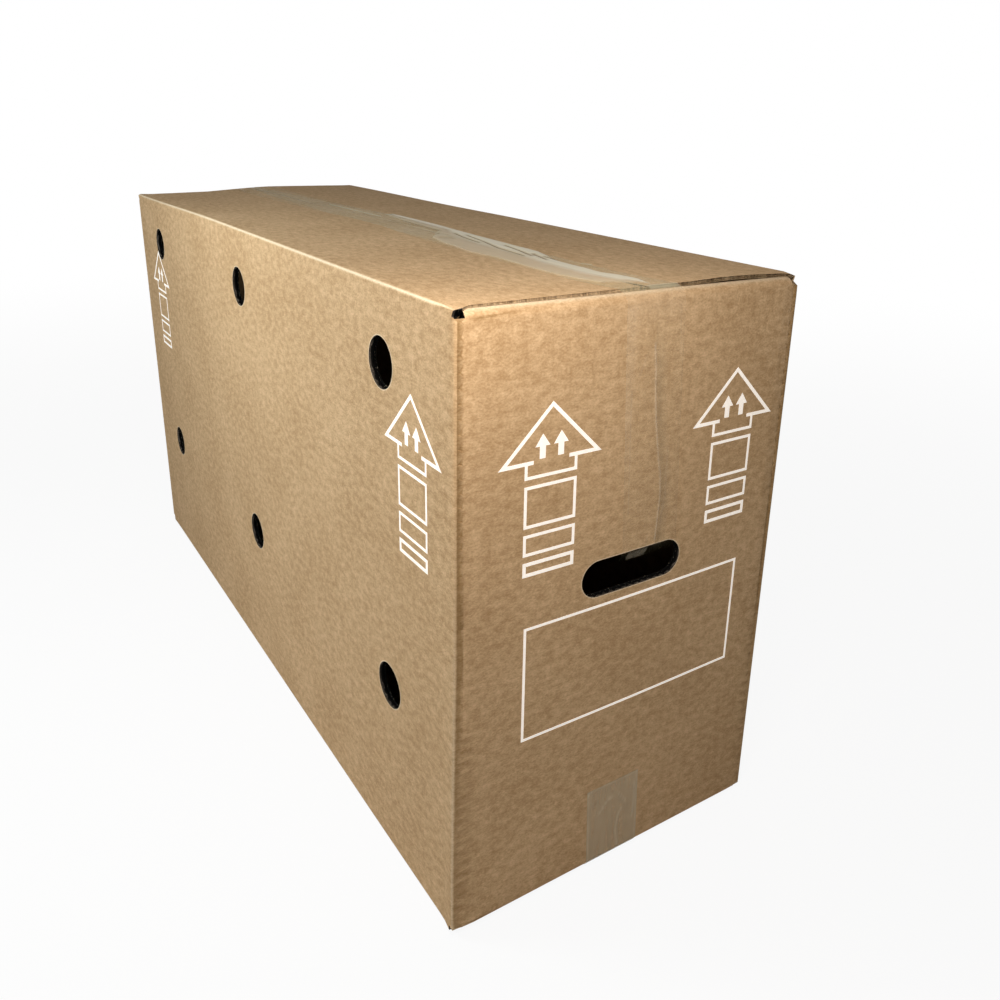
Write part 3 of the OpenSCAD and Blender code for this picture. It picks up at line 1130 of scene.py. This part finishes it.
def shaded_hole_wall_finish():
    """The crushed wall of a hole: brown at its outer liner, grey behind it, and painted shade takes it to
    nearly black at the inside. Its pale specks are partly fibres and partly painted glints.
    """
    finish, tree, shader = new_material("shaded_hole_wall")
    sheet = place_on_sheet(tree)
    clouds = place_group(tree, fibre_clouds, Sheet=sheet, Cloud_Size=3.0, Speckle_Size=0.9)
    deep = attribute(tree, "deep")
    wall = mix_colours(tree, rescale(tree, deep, 0.02, 0.14), srgb(128, 100, 70), srgb(118, 109, 100))
    wall = mix_colours(tree, rescale(tree, clouds["Height"], 0.35, 0.65, 0.5, 0.0), wall, srgb(40, 34, 28))
    # Painted shade: nearly black towards the inside of the wall.
    wall = mix_colours(tree, rescale(tree, deep, 0.3, 0.5), wall, srgb(9, 8, 7))
    # Pale specks along the liners: partly fibres, partly painted glints.
    at_liners = sums(tree, "MAXIMUM", rescale(tree, deep, 0.45, 0.3), rescale(tree, deep, 0.8, 0.9))
    specks_and_glints = sums(tree, "MULTIPLY", rescale(tree, clouds["Height"], 0.6, 0.66), at_liners)
    feed(tree, shader.inputs["Base Color"], mix_colours(tree, specks_and_glints, wall, srgb(186, 174, 150)))
    feed(tree, shader.inputs["Roughness"], rescale(tree, clouds["Height"], 0.3, 0.7, 0.8, 0.95))
    shader.inputs["Specular IOR Level"].default_value = 0.1
    add_bumps(tree, shader, clouds["Height"], 0.9, 0.6)
    return finish


kraft_face = paper_finish("kraft_face", srgb(173, 138, 97), srgb(225, 191, 149), 5.0, 0.55, 0.1)
kraft_inside = paper_finish("kraft_inside", srgb(112, 86, 58), srgb(150, 120, 86), 11.0, 0.4, 0.5)
cut_liner = paper_finish("cut_liner", srgb(120, 92, 60), srgb(240, 212, 170), 2.0, 0.8, 0.0)
torn_paper = paper_finish("torn_paper", srgb(140, 112, 78), srgb(230, 202, 160), 2.0, 0.8, 0.0)
wavy_paper = paper_finish("wavy_paper", srgb(76, 57, 38), srgb(216, 188, 150), 1.4, 0.8, 0.0)
shaded_hole_wall = shaded_hole_wall_finish()

papers = [kraft_face, kraft_inside, cut_liner, wavy_paper, torn_paper, shaded_hole_wall]
carton_board = board.make("carton_board", papers)
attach(carton_board, "root")
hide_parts("carton")
print("carton_board:", len(carton_board.data.polygons), "faces")

# %% [markdown]
# ## The print
# The marks are printed on the flat sheet before it is folded, so here they are laid out on the sheet too:
# two upright arrows on every panel, and an empty frame for a label on each end. An arrow is one outlined
# head on a collar, over three outlined bars. Each stroke is a thin film of white ink, just proud of the
# paper. Inside each head stand two small solid arrows, the plain sign for this way up.

# %% Strokes
INK = 0.07
INK_ROOT = 0.12
STROKE = 2.5
PRINT_STEP = 12.0
INK_GLOW = 0.38


class Print(Mesh):
    """Ink on one panel. Places are given from the panel's left edge and down from the top of the box."""

    def __init__(self, panel):
        super().__init__()
        self.panel = panel
        self.left = panel.along - FOLD

    def fill(self, corners):
        """A filled four-sided patch of ink, with corners given clockwise as seen from outside."""
        corners = np.array(corners, float)
        first, second, third, fourth = corners
        longer = max(np.linalg.norm(second - first), np.linalg.norm(third - fourth))
        count = len(steps(0, longer, PRINT_STEP))
        share = np.linspace(0, 1, count)[:, None]
        rows = []
        for start, end in ((first, second), (fourth, third)):
            line = start + (end - start) * share
            for depth in (INK_ROOT, -INK):
                rows.append((line, depth))
        order = [rows[0], rows[1], rows[3], rows[2]]
        numbers = []
        for line, depth in order:
            start = self.add_points(self.left + line[:, 0], HALF_H - line[:, 1], depth)
            numbers.append(np.arange(start, start + count))
        for near, far in zip(numbers, numbers[1:] + numbers[:1]):
            self.strip(near, far, 0, False)
        for end, order in ((0, (0, 1, 2, 3)), (-1, (3, 2, 1, 0))):
            self.add_faces([[numbers[i][end] for i in order]], 0)

    def outline(self, corners, width=STROKE, closed=True):
        """A stroke of ink along the inside of an outline with mitred corners, given clockwise."""
        corners = [np.array(point, float) for point in corners]
        count = len(corners)
        inner = []
        for i, point in enumerate(corners):
            before = point - corners[i - 1] if closed or i else corners[1] - point
            after = corners[(i + 1) % count] - point if closed or i < count - 1 else before
            sides = [np.array((-run[1], run[0])) / np.linalg.norm(run) for run in (before, after)]
            inner.append(point + width * (sides[0] + sides[1]) / (1 + sides[0] @ sides[1]))
        for i in range(count if closed else count - 1):
            j = (i + 1) % count
            self.fill([corners[i], corners[j], inner[j], inner[i]])


print(f"strokes {STROKE} mm wide, in ink {INK} mm thick")

# %% [markdown]
# The arrow's own sizes are few: how wide and high its head is, how wide its stem is, and where each bar
# starts and ends. Every arrow on the box is a copy of this one.

# %% Arrows and label frames
HEAD_W = 77
HEAD_TOP = 61.5
HEAD_LOW = 99.8
COLLAR_LOW = 109.2
STEM_W = 39.2
NECK_W = 26.5
THIN_STROKE = 2.1
BARS = ((113.6, 141.6, THIN_STROKE), (146, 160.6, THIN_STROKE), (165, 175, STROKE))
SIGN_W = 11
SIGN_H = 16
SIGN_TOP = 81
SIGN_OUT = 0.62
FRAME_LINE = 2.0
FRAME = (50, 241, 212, 299)
ARROW_MIDDLES = {"front_end": (67.5, 223), "far_end": (53, 208.5), "left_side": (77, 726),
                 "right_side": (54, 703)}


def draw_arrow(ink, middle):
    """One upright arrow around a vertical line that lies middle from the panel's left edge."""
    half_head, half_stem, half_neck = HEAD_W / 2, STEM_W / 2, NECK_W / 2
    ink.outline([(middle - half_neck, HEAD_LOW), (middle - half_head, HEAD_LOW), (middle, HEAD_TOP),
                 (middle + half_head, HEAD_LOW), (middle + half_neck, HEAD_LOW)], STROKE, False)
    for side in (-1, 1):
        pair = sorted((middle + side * half_stem, middle + side * (half_stem - THIN_STROKE)))
        ink.fill([(pair[0], HEAD_LOW), (pair[1], HEAD_LOW), (pair[1], COLLAR_LOW), (pair[0], COLLAR_LOW)])
    inner = half_stem - THIN_STROKE
    ink.fill([(middle - inner, COLLAR_LOW - THIN_STROKE), (middle + inner, COLLAR_LOW - THIN_STROKE),
              (middle + inner, COLLAR_LOW), (middle - inner, COLLAR_LOW)])
    for top, bottom, width in BARS:
        ink.outline([(middle - half_stem, top), (middle + half_stem, top), (middle + half_stem, bottom),
                     (middle - half_stem, bottom)], width)
    for side in (-1, 1):
        draw_sign(ink, middle + side * SIGN_W * SIGN_OUT)


def draw_sign(ink, middle):
    """One of the small solid arrows inside the head."""
    head = SIGN_H * 0.5
    ink.fill([(middle, SIGN_TOP), (middle, SIGN_TOP), (middle + SIGN_W / 2, SIGN_TOP + head),
              (middle - SIGN_W / 2, SIGN_TOP + head)])
    ink.fill([(middle - SIGN_W / 5, SIGN_TOP + head), (middle + SIGN_W / 5, SIGN_TOP + head),
              (middle + SIGN_W / 5, SIGN_TOP + SIGN_H), (middle - SIGN_W / 5, SIGN_TOP + SIGN_H)])


def ink_finish():
    """White printing ink: matt, a little thin, so that the paper's clouds show in it. It glows faintly,
    because the real marks stay nearly white on the shaded side too."""
    finish, tree, shader = new_material("white_ink")
    sheet = place_on_sheet(tree)
    clouds = place_group(tree, fibre_clouds, Sheet=sheet, Cloud_Size=7.0)
    bars = place_group(tree, flute_bars, Sheet=sheet)
    share = rescale(tree, clouds["Shade"], 0.25, 0.6)
    colour = mix_colours(tree, share, srgb(230, 220, 210), srgb(248, 242, 235))
    feed(tree, shader.inputs["Base Color"], colour)
    shader.inputs["Emission Color"].default_value = srgb(255, 243, 228)
    shader.inputs["Emission Strength"].default_value = INK_GLOW
    feed(tree, shader.inputs["Roughness"], rescale(tree, clouds["Height"], 0.3, 0.7, 0.6, 0.8))
    shader.inputs["Specular IOR Level"].default_value = 0.3
    height = sums(tree, "MULTIPLY_ADD", bars["Height"], 0.5, clouds["Height"])
    add_bumps(tree, shader, height, 0.4, 0.3)
    return finish


white_ink = ink_finish()
for name, middles in ARROW_MIDDLES.items():
    ink = Print(panels[name])
    for middle in middles:
        draw_arrow(ink, middle)
    if name in ("front_end", "far_end"):
        left, right, top, bottom = FRAME
        if name == "far_end":
            left, right = WIDTH - right - BOARD, WIDTH - left - BOARD
        ink.outline([(left, top), (right, top), (right, bottom), (left, bottom)], FRAME_LINE)
    printed = ink.make("print_" + name, [white_ink])
    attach(printed, "root")
    print(printed.name, len(printed.data.polygons), "faces")

# %% [markdown]
# ## The packing tape
# The tape is a clear film, 48 mm wide. Each strip follows a path over the box, seen from the side: up the
# end panel, around its rolled crease, onto the long flaps, along the seam, and down the far end the same
# way. The top strip starts inside the hand hole. A grid of points follows the path, pushed out by the
# wrinkles.

# %% Path and film of a tape
TAPE_W = 48
TAPE_T = 0.08
TAPE_LIFT = 0.14
TAPE_COLUMNS = 64
TUCK = 10
TUCK_ANGLE = math.radians(26)
TUCK_SHOWS = (-4, 13)
CLIMB = 72


def over_the_end(first):
    """Front half of a top path as y, z points: the given start, the rolled crease, the flap's edge."""
    middle = np.array((OUTER_R - HALF_L, HEIGHT - END_DROP - OUTER_R))
    flap = np.array((FOLD + SLOT_SIDE - HALF_L, HEIGHT))
    reach = flap - middle
    last = math.atan2(reach[1], reach[0]) + math.acos(OUTER_R / np.linalg.norm(reach))
    turns = np.linspace(math.pi, last, 9)
    arc = [middle + OUTER_R * np.array((math.cos(turn), math.sin(turn))) for turn in turns]
    return [*first, *arc, flap]


def lay_path(half, size):
    """The whole path from its front half, with points at most size apart, and directions away from it."""
    corners = np.array(list(half) + [(-y, z) for y, z in half[::-1]])
    lengths = np.linalg.norm(np.diff(corners, axis=0), axis=1)
    walked = np.concatenate([[0], np.cumsum(lengths)])
    stations = np.unique(np.concatenate([walked, steps(0, walked[-1], size)]))
    points = np.stack([np.interp(stations, walked, corners[:, i]) for i in range(2)], 1)
    runs = np.gradient(points, stations, axis=0)
    runs /= np.linalg.norm(runs, axis=1, keepdims=True)
    return points, np.stack([-runs[:, 1], runs[:, 0]], 1)


def film_faces(rows, columns):
    """Faces of a film's two sides and its rim, where the inner side's points follow the outer side's."""
    count = rows * columns
    number = np.arange(count).reshape(rows, columns)
    side = np.stack([number[:-1, :-1], number[:-1, 1:], number[1:, 1:], number[1:, :-1]], -1).reshape(-1, 4)
    edge = np.concatenate([number[0, :], number[1:, -1], number[-1, -2::-1], number[-2:0:-1, 0]])
    after = np.roll(edge, -1)
    rim = np.stack([edge, edge + count, after + count, after], 1)
    return np.concatenate([side, side[:, ::-1] + count, rim])


def make_tape(name, half, centre, push, size, tooth, upside_down=False):
    """A strip of film. centre gives its middle in x. push gives how far each point stands off the board,
    and how milky, how olive and how dark the film is there: milky for loose film and painted highlights,
    dark for painted shade. size is the longest step along the path, and tooth is how far the teeth of its
    cut ends stick out."""
    path, normals = lay_path(half, size)
    across = np.linspace(-TAPE_W / 2, TAPE_W / 2, TAPE_COLUMNS + 1)
    y = path[:, 0][:, None] + 0 * across
    z = path[:, 1][:, None] + 0 * across
    teeth = tooth * (np.arange(TAPE_COLUMNS + 1) % 2)
    for end, inner in ((0, 1), (-1, -2)):
        run = path[end] - path[inner]
        run /= np.linalg.norm(run)
        y[end] -= run[0] * teeth
        z[end] -= run[1] * teeth
    x = centre(y, z) + across
    lifted, *looks = push(x, y, z, across + 0 * y)
    sides = []
    for extra in (TAPE_T, 0):
        out = TAPE_LIFT + extra + lifted
        points = np.stack([x, y + normals[:, 0][:, None] * out, z + normals[:, 1][:, None] * out], -1)
        if upside_down:
            points[..., 2] = HEIGHT - points[..., 2]
        sides.append(points.reshape(-1, 3))
    faces = film_faces(*x.shape)
    if upside_down:
        faces = faces[:, ::-1]
    mesh = bpy.data.meshes.new(name)
    mesh.from_pydata((settle(np.concatenate(sides)) * MM).tolist(), [], faces.tolist())
    # Milky with painted highlights, olive, and dark with painted shade: values for the finish to read.
    for title, values in zip(("milky_and_highlight", "olive", "dark"), looks):
        carry(mesh, title, np.tile(np.clip(values, 0, 1).ravel(), 2))
    mesh.shade_smooth()
    mesh.set_sharp_from_angle(angle=math.radians(50))
    made = place_object(name, mesh)
    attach(made, "root")
    print(f"{name}: {len(path)} rows, {len(faces)} faces")
    return made


print(f"tape {TAPE_W} wide")

# %% [markdown]
# A wrinkle in tape is a narrow ridge where the film has folded on itself or bridges a hollow, and a slit
# between two loose places is a line where it still sticks. Both are short lines of points here, listed one
# by one. Where the film has come off the board, the air behind it makes it look milky. Where it sticks, it
# is nearly clear, and a dull olive when seen at a low angle.
# The pale lines along the wrinkles and creases, and the glints, are painted highlights on the lifted film.
# The dark places are painted shade: in the slits, along the seam under the film, beside the wrinkle on the
# end panel, and on the end tucked into the hand hole.

# %% Lines on the film
def near_line(first, second, line, width):
    """1 on a line of points, falling to 0 beside it, given in the two coordinates first and second."""
    nearest = np.full(np.shape(first), 1e9)
    for (a0, b0), (a1, b1) in zip(line, line[1:]):
        run = (a1 - a0, b1 - b0)
        share = np.clip(((first - a0) * run[0] + (second - b0) * run[1]) / (run[0] ** 2 + run[1] ** 2), 0, 1)
        nearest = np.minimum(nearest, np.hypot(first - a0 - share * run[0], second - b0 - share * run[1]))
    return band(nearest, 0, width)


def along_line(value, line):
    """The second coordinate of a line of points, looked up by the first."""
    firsts, seconds = zip(*sorted(line))
    return np.interp(value, firsts, seconds)


# %% [markdown]
# The top strip isn't straight: it was pulled on by hand, to the left of the seam along the front half and
# to the right of it down the end panel. It is loose from just behind the front edge to past the middle of
# the box.

# %% Top tape
TOP_MIDDLES = [(-390, 6), (-366, 0), (-337, -4), (-290, -5), (-216, -7), (-148, -6), (-101, -4), (-55, 1),
               (20, 1), (88, -2), (390, -1)]
END_WRINKLE = [(7, 404), (9, 388), (9.5, 375), (12, 352), (17, 321), (19, 313), (20, 297), (19, 280),
               (18, 266)]
END_CREASES = [[(-4, 385), (1, 397)], [(24, 330), (25, 300), (22, 276)], [(11, 268), (9, 250)],
               [(27, 425), (30, 395)]]
LOOSE_LEFT = [(-378, 9), (-369, -7), (-363, -18), (-349, -23), (-331, -26), (-297, -27), (-256, -25),
              (-224, -30), (-167, -25), (-144, -20), (-124, -6), (-110, 5), (-33, 9), (22, 17)]
LOOSE_RIGHT = [(-378, 9), (-366, 12), (-349, 10), (-334, 5), (-304, 7), (-285, 7), (-262, 13), (-243, 18),
               (22, 26)]
SLITS = [
    [(8, -132), (3, -158), (0, -186)],
    [(12, -146), (6, -184), (-1, -217), (-3, -254)],
    [(11, -208), (7, -234), (2, -258)],
    [(8, -250), (2, -276)],
    [(18, -248), (11, -273), (12, -288)],
    [(9, -264), (7, -285), (7, -309), (10, -327)],
    [(9, -30), (7, -70), (5, -112)],
]
CRUMPLES = [[(-15, -135), (-4, -127)], [(-14, -147), (-5, -153)], [(-4, -120), (-2, -142)],
            [(-16, -152), (-8, -160)]]
FAR_WRINKLE = [(8, 142), (7, 72), (5, 9)]
GLINT = [(17, -298), (20, -306)]
SEAM_LINE = [(-4, 347), (0, 260), (-3, 204), (-6, 150)]
THREAD = [(-10, 375), (-8.5, 330), (-7, 290)]
STUCK_HALF = {"y": (27, 150, 250, 340), "half": (27, 19, 15, 9)}
LOOSE_ENDS = (-378, 22)


def top_centre(y, z):
    """Middle of the top strip in x."""
    return along_line(y, TOP_MIDDLES) + 9 * ramp(z, HEIGHT, HEIGHT - HAND_DOWN) * (y < 0)


def push_on_top(x, y, on_top):
    """How the strip lies along the seam: how far it stands off, where it is milky, with painted highlights
    on its far wrinkle and glint, where it is olive, and where painted shade makes it dark.
    """
    left, right = along_line(y, LOOSE_LEFT), along_line(y, LOOSE_RIGHT)
    loose = ramp(x - left, -1, 1) * ramp(right - x, -1, 1) * (y > LOOSE_ENDS[0]) * (y < LOOSE_ENDS[1])
    half_loose = 0.12 * (x < left) * hump(y, -105, 45)
    slits = sum(near_line(x, y, line, 1.45) for line in SLITS)
    slits += 0.8 * sum(near_line(x, y, line, 1.1) for line in CRUMPLES)
    # The far wrinkle and the glint: lifted, with a painted highlight.
    ridges_and_glint = near_line(x, y, FAR_WRINKLE, 1.3) + near_line(x, y, GLINT, 1.2)
    stuck = np.clip(1 - slits, 0, 1)
    bright = 0.4 + 0.62 * ramp((x - left) / np.maximum(right - left, 1), 0.42, 0.72)
    narrow = np.interp(y, STUCK_HALF["y"], STUCK_HALF["half"]) - np.abs(x)
    lifted = on_top * (1.1 * loose * stuck + 0.8 * ridges_and_glint)
    milky_and_highlight = on_top * (loose * stuck * bright + 0.05 * loose + half_loose * stuck + 0.5 * ridges_and_glint)
    olive = on_top * (1 - 0.5 * loose * stuck) * np.clip(narrow / 3 + 0.5, 0.35, 1)
    # Painted shade in the slits between loose places and along the seam under the film.
    dark = on_top * (0.9 * np.clip(slits, 0, 1) * loose + 0.45 * near_line(x, y, SEAM_LINE, 1.0))
    return lifted, milky_and_highlight, olive, dark


def push_on_end(x, z, on_end):
    """The same for the strip's run down the end panel."""
    wrinkle = near_line(x, z, END_WRINKLE, 0.75)
    creases = sum(near_line(x, z, line, 0.8) for line in END_CREASES)
    beside = x - along_line(z, [(b, a) for a, b in END_WRINKLE])
    # Painted shade beside the wrinkle on the end panel.
    shade = ramp(beside, 0, 1.5) * ramp(beside, 11, 3) * ramp(z, 420, 390)
    streak = hump(x, -13, 9) * ramp(z, 290, 350)
    thread = near_line(x, z, THREAD, 0.5)
    # The wrinkle and the creases are lifted, and their pale lines are painted highlights.
    lifted = on_end * (0.7 * wrinkle + 0.3 * creases)
    milky_and_highlight = on_end * (0.42 * wrinkle + 0.1 * creases + 0.15 * thread + 0.12 * streak + 0.03)
    return lifted, milky_and_highlight, on_end * 0.05, on_end * 0.5 * shade


def top_push(x, y, z, across):
    """How far the top strip stands off the board, where it is milky, with painted highlights, where it is
    olive, and where painted shade makes it dark.
    """
    on_top = z > HEIGHT - 3
    on_end = (y < 0) & (z < HEIGHT - 12)
    pushes = zip(push_on_top(x, y, on_top), push_on_end(x, z, on_end))
    lifted, milky_and_highlight, olive, dark = [over + down for over, down in pushes]
    border = ramp(np.abs(across), TAPE_W / 2 - 1, TAPE_W / 2)
    rolled = (y < -376) * (1 - on_top) * ramp(z, HEIGHT - 26, HEIGHT - 6)
    flap_end = (y < -380) * on_top * np.where(x > 2, 0.35, 0.05)
    # The end tucked into the hand hole: only its left part shows, a little milky and darkened by painted
    # shade.
    tucked = (y < 0) * (z < HEIGHT - HAND_DOWN + HAND_H / 2 - 0.5)
    shown = (x > TUCK_SHOWS[0]) & (x < TUCK_SHOWS[1])
    milky_and_highlight = np.where(tucked, 0.2 * shown, milky_and_highlight + 0.06 * border + 0.12 * rolled + flap_end)
    return lifted, milky_and_highlight, olive, np.where(tucked, 0.45 * shown, dark)


hole_edge = (-HALF_L, HEIGHT - HAND_DOWN + HAND_H / 2)
tip = (-HALF_L + TUCK * math.sin(TUCK_ANGLE), hole_edge[1] - TUCK * math.cos(TUCK_ANGLE))
top_tape = make_tape("top_tape_film", over_the_end([tip, hole_edge]), top_centre, top_push, 2.4, 2.0)
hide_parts("top_tape")

# %% [markdown]
# The same function makes the bottom tape. Its path is made as if for the top and then turned upside down,
# with the run under the box pressed into the board. Three faint creases show where a thumb pressed it
# down, and their pale lines are painted highlights. At its upper left corner a small raised spot carries
# a painted glint.

# %% Bottom tape
THUMB_CREASES = [[(4, 10), (1, 26), (3, 38), (6, 43)],
                 [(-16, 47), (-11, 53), (-7, 57), (1, 59), (6, 52), (10, 46)],
                 [(17, 62), (18, 44), (17, 30)]]
# A small raised spot with a painted glint.
GLINT_SPOT = [(-27, 69.5), (-24.5, 71)]


def bottom_centre(y, z):
    """Middle of the bottom strip in x: it leans a little to the left as it climbs."""
    return -1 - 3 * ramp(z, HEIGHT, HEIGHT - CLIMB) * (y < 0)


def bottom_push(x, y, z, across):
    """How far the bottom strip stands off the board, and how milky, olive and dark it is: milky with painted
    highlights on its creases and a painted glint, evenly olive, and never dark.
    """
    climbed = HEIGHT - z
    on_end = climbed > 12
    # The thumb creases are lifted a little, and their pale lines are painted highlights.
    creases = on_end * (y < 0) * sum(near_line(x, climbed, line, 0.9) for line in THUMB_CREASES)
    border = ramp(np.abs(across), TAPE_W / 2 - 2.5, TAPE_W / 2 - 1.5)
    border += ramp(climbed, CLIMB - 1.5, CLIMB - 0.5)
    # Painted glint on the small raised spot.
    glint_spot = on_end * (y < 0) * near_line(x, climbed, GLINT_SPOT, 0.8)
    milky_and_highlight = 0.37 + 0.26 * creases + 0.13 * border + 0.7 * glint_spot
    return 0.35 * creases + 0.5 * glint_spot, milky_and_highlight, 0.25 + 0 * x, 0 * x


pressed = HEIGHT - TAPE_LIFT - TAPE_T
bottom_half = [(y, min(z, pressed)) for y, z in over_the_end([(-HALF_L, HEIGHT - CLIMB)])]
bottom_tape = make_tape("bottom_tape_film", bottom_half, bottom_centre, bottom_push, 3.0, 0.5, True)
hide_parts("bottom_tape")

# %% [markdown]
# Both strips share one film. How much of it shows is its alpha: most where it is milky or carries a
# painted highlight, a quarter where it is olive, and hardly any where it sticks flat to the end panel.
# Where it is dark, a brown painted shade is mixed in. Real film has two faces, but only the outer one is
# drawn, and it lets most light through to the board, so its alpha is lower for shadows. Fine streaks run
# along the tape, from its stretching.

# %% Film finish
# The milky colour also paints the film's highlights, and the dark colour paints its shade.
FILM_MILKY_HIGHLIGHT = srgb(229, 217, 192)
FILM_OLIVE = srgb(174, 170, 134)
FILM_SHADE = srgb(96, 74, 46)
SHADOW_SHARE = 0.2


def film_finish():
    """Clear packing tape: milky where loose and where highlights are painted, olive where it sticks, and
    dark where shade is painted.
    """
    finish, tree, shader = new_material("packing_film")
    place = add(tree, "TexCoord").outputs["Object"]
    milky_and_highlight = attribute(tree, "milky_and_highlight")
    olive = attribute(tree, "olive")
    dark = attribute(tree, "dark")
    streak = add(tree, "Mapping", None, Vector=place, Scale=(190.0, 16.0, 16.0)).outputs[0]
    noise = add(tree, "TexNoise", None, Vector=streak, Scale=1.0, Detail=4.0, Roughness=0.6).outputs["Fac"]
    milky_and_highlight = sums(tree, "MULTIPLY", milky_and_highlight, rescale(tree, noise, 0.3, 0.7, 0.88, 1.07))
    whole = sums(tree, "MULTIPLY_ADD", olive, 0.5, sums(tree, "ADD", milky_and_highlight, 0.02))
    colour = mix_colours(tree, sums(tree, "DIVIDE", milky_and_highlight, whole), FILM_OLIVE, FILM_MILKY_HIGHLIGHT)
    # Painted shade turns the film's colour dark brown.
    feed(tree, shader.inputs["Base Color"], mix_colours(tree, dark, colour, FILM_SHADE))
    alpha = sums(tree, "MULTIPLY_ADD", milky_and_highlight, 0.8, sums(tree, "MULTIPLY_ADD", olive, 0.24, 0.02))
    alpha = sums(tree, "MINIMUM", sums(tree, "MULTIPLY_ADD", dark, 0.42, alpha), 0.93)
    inner_face = tree.nodes.new("ShaderNodeNewGeometry").outputs["Backfacing"]
    alpha = sums(tree, "MULTIPLY", alpha, rescale(tree, inner_face, 0.0, 1.0, 1.0, 0.0))
    shadow = tree.nodes.new("ShaderNodeLightPath").outputs["Is Shadow Ray"]
    let_through = rescale(tree, shadow, 0.0, 1.0, 1.0, SHADOW_SHARE)
    feed(tree, shader.inputs["Alpha"], sums(tree, "MULTIPLY", alpha, let_through))
    feed(tree, shader.inputs["Roughness"], rescale(tree, noise, 0.2, 0.8, 0.34, 0.5))
    shader.inputs["Specular IOR Level"].default_value = 0.08
    add_bumps(tree, shader, noise, 0.3, 0.4)
    return finish


packing_film = film_finish()
for piece in (top_tape, bottom_tape):
    piece.data.materials.append(packing_film)
print("finishes:", sorted(finish.name for finish in bpy.data.materials if finish.users))

# %% [markdown]
# ## Sizes
# Both sizes are printed next to each other, the solid box's and the dressed one's. The dressed box
# has to stay inside the solid one, give or take a few millimetres.

# %% Print both sizes
shown_bounds = [list(corner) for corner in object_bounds()]
for title, bounds in (("solid", solid_bounds), ("shown", shown_bounds)):
    print(title, [round(value / MM, 1) for corner in bounds for value in corner])
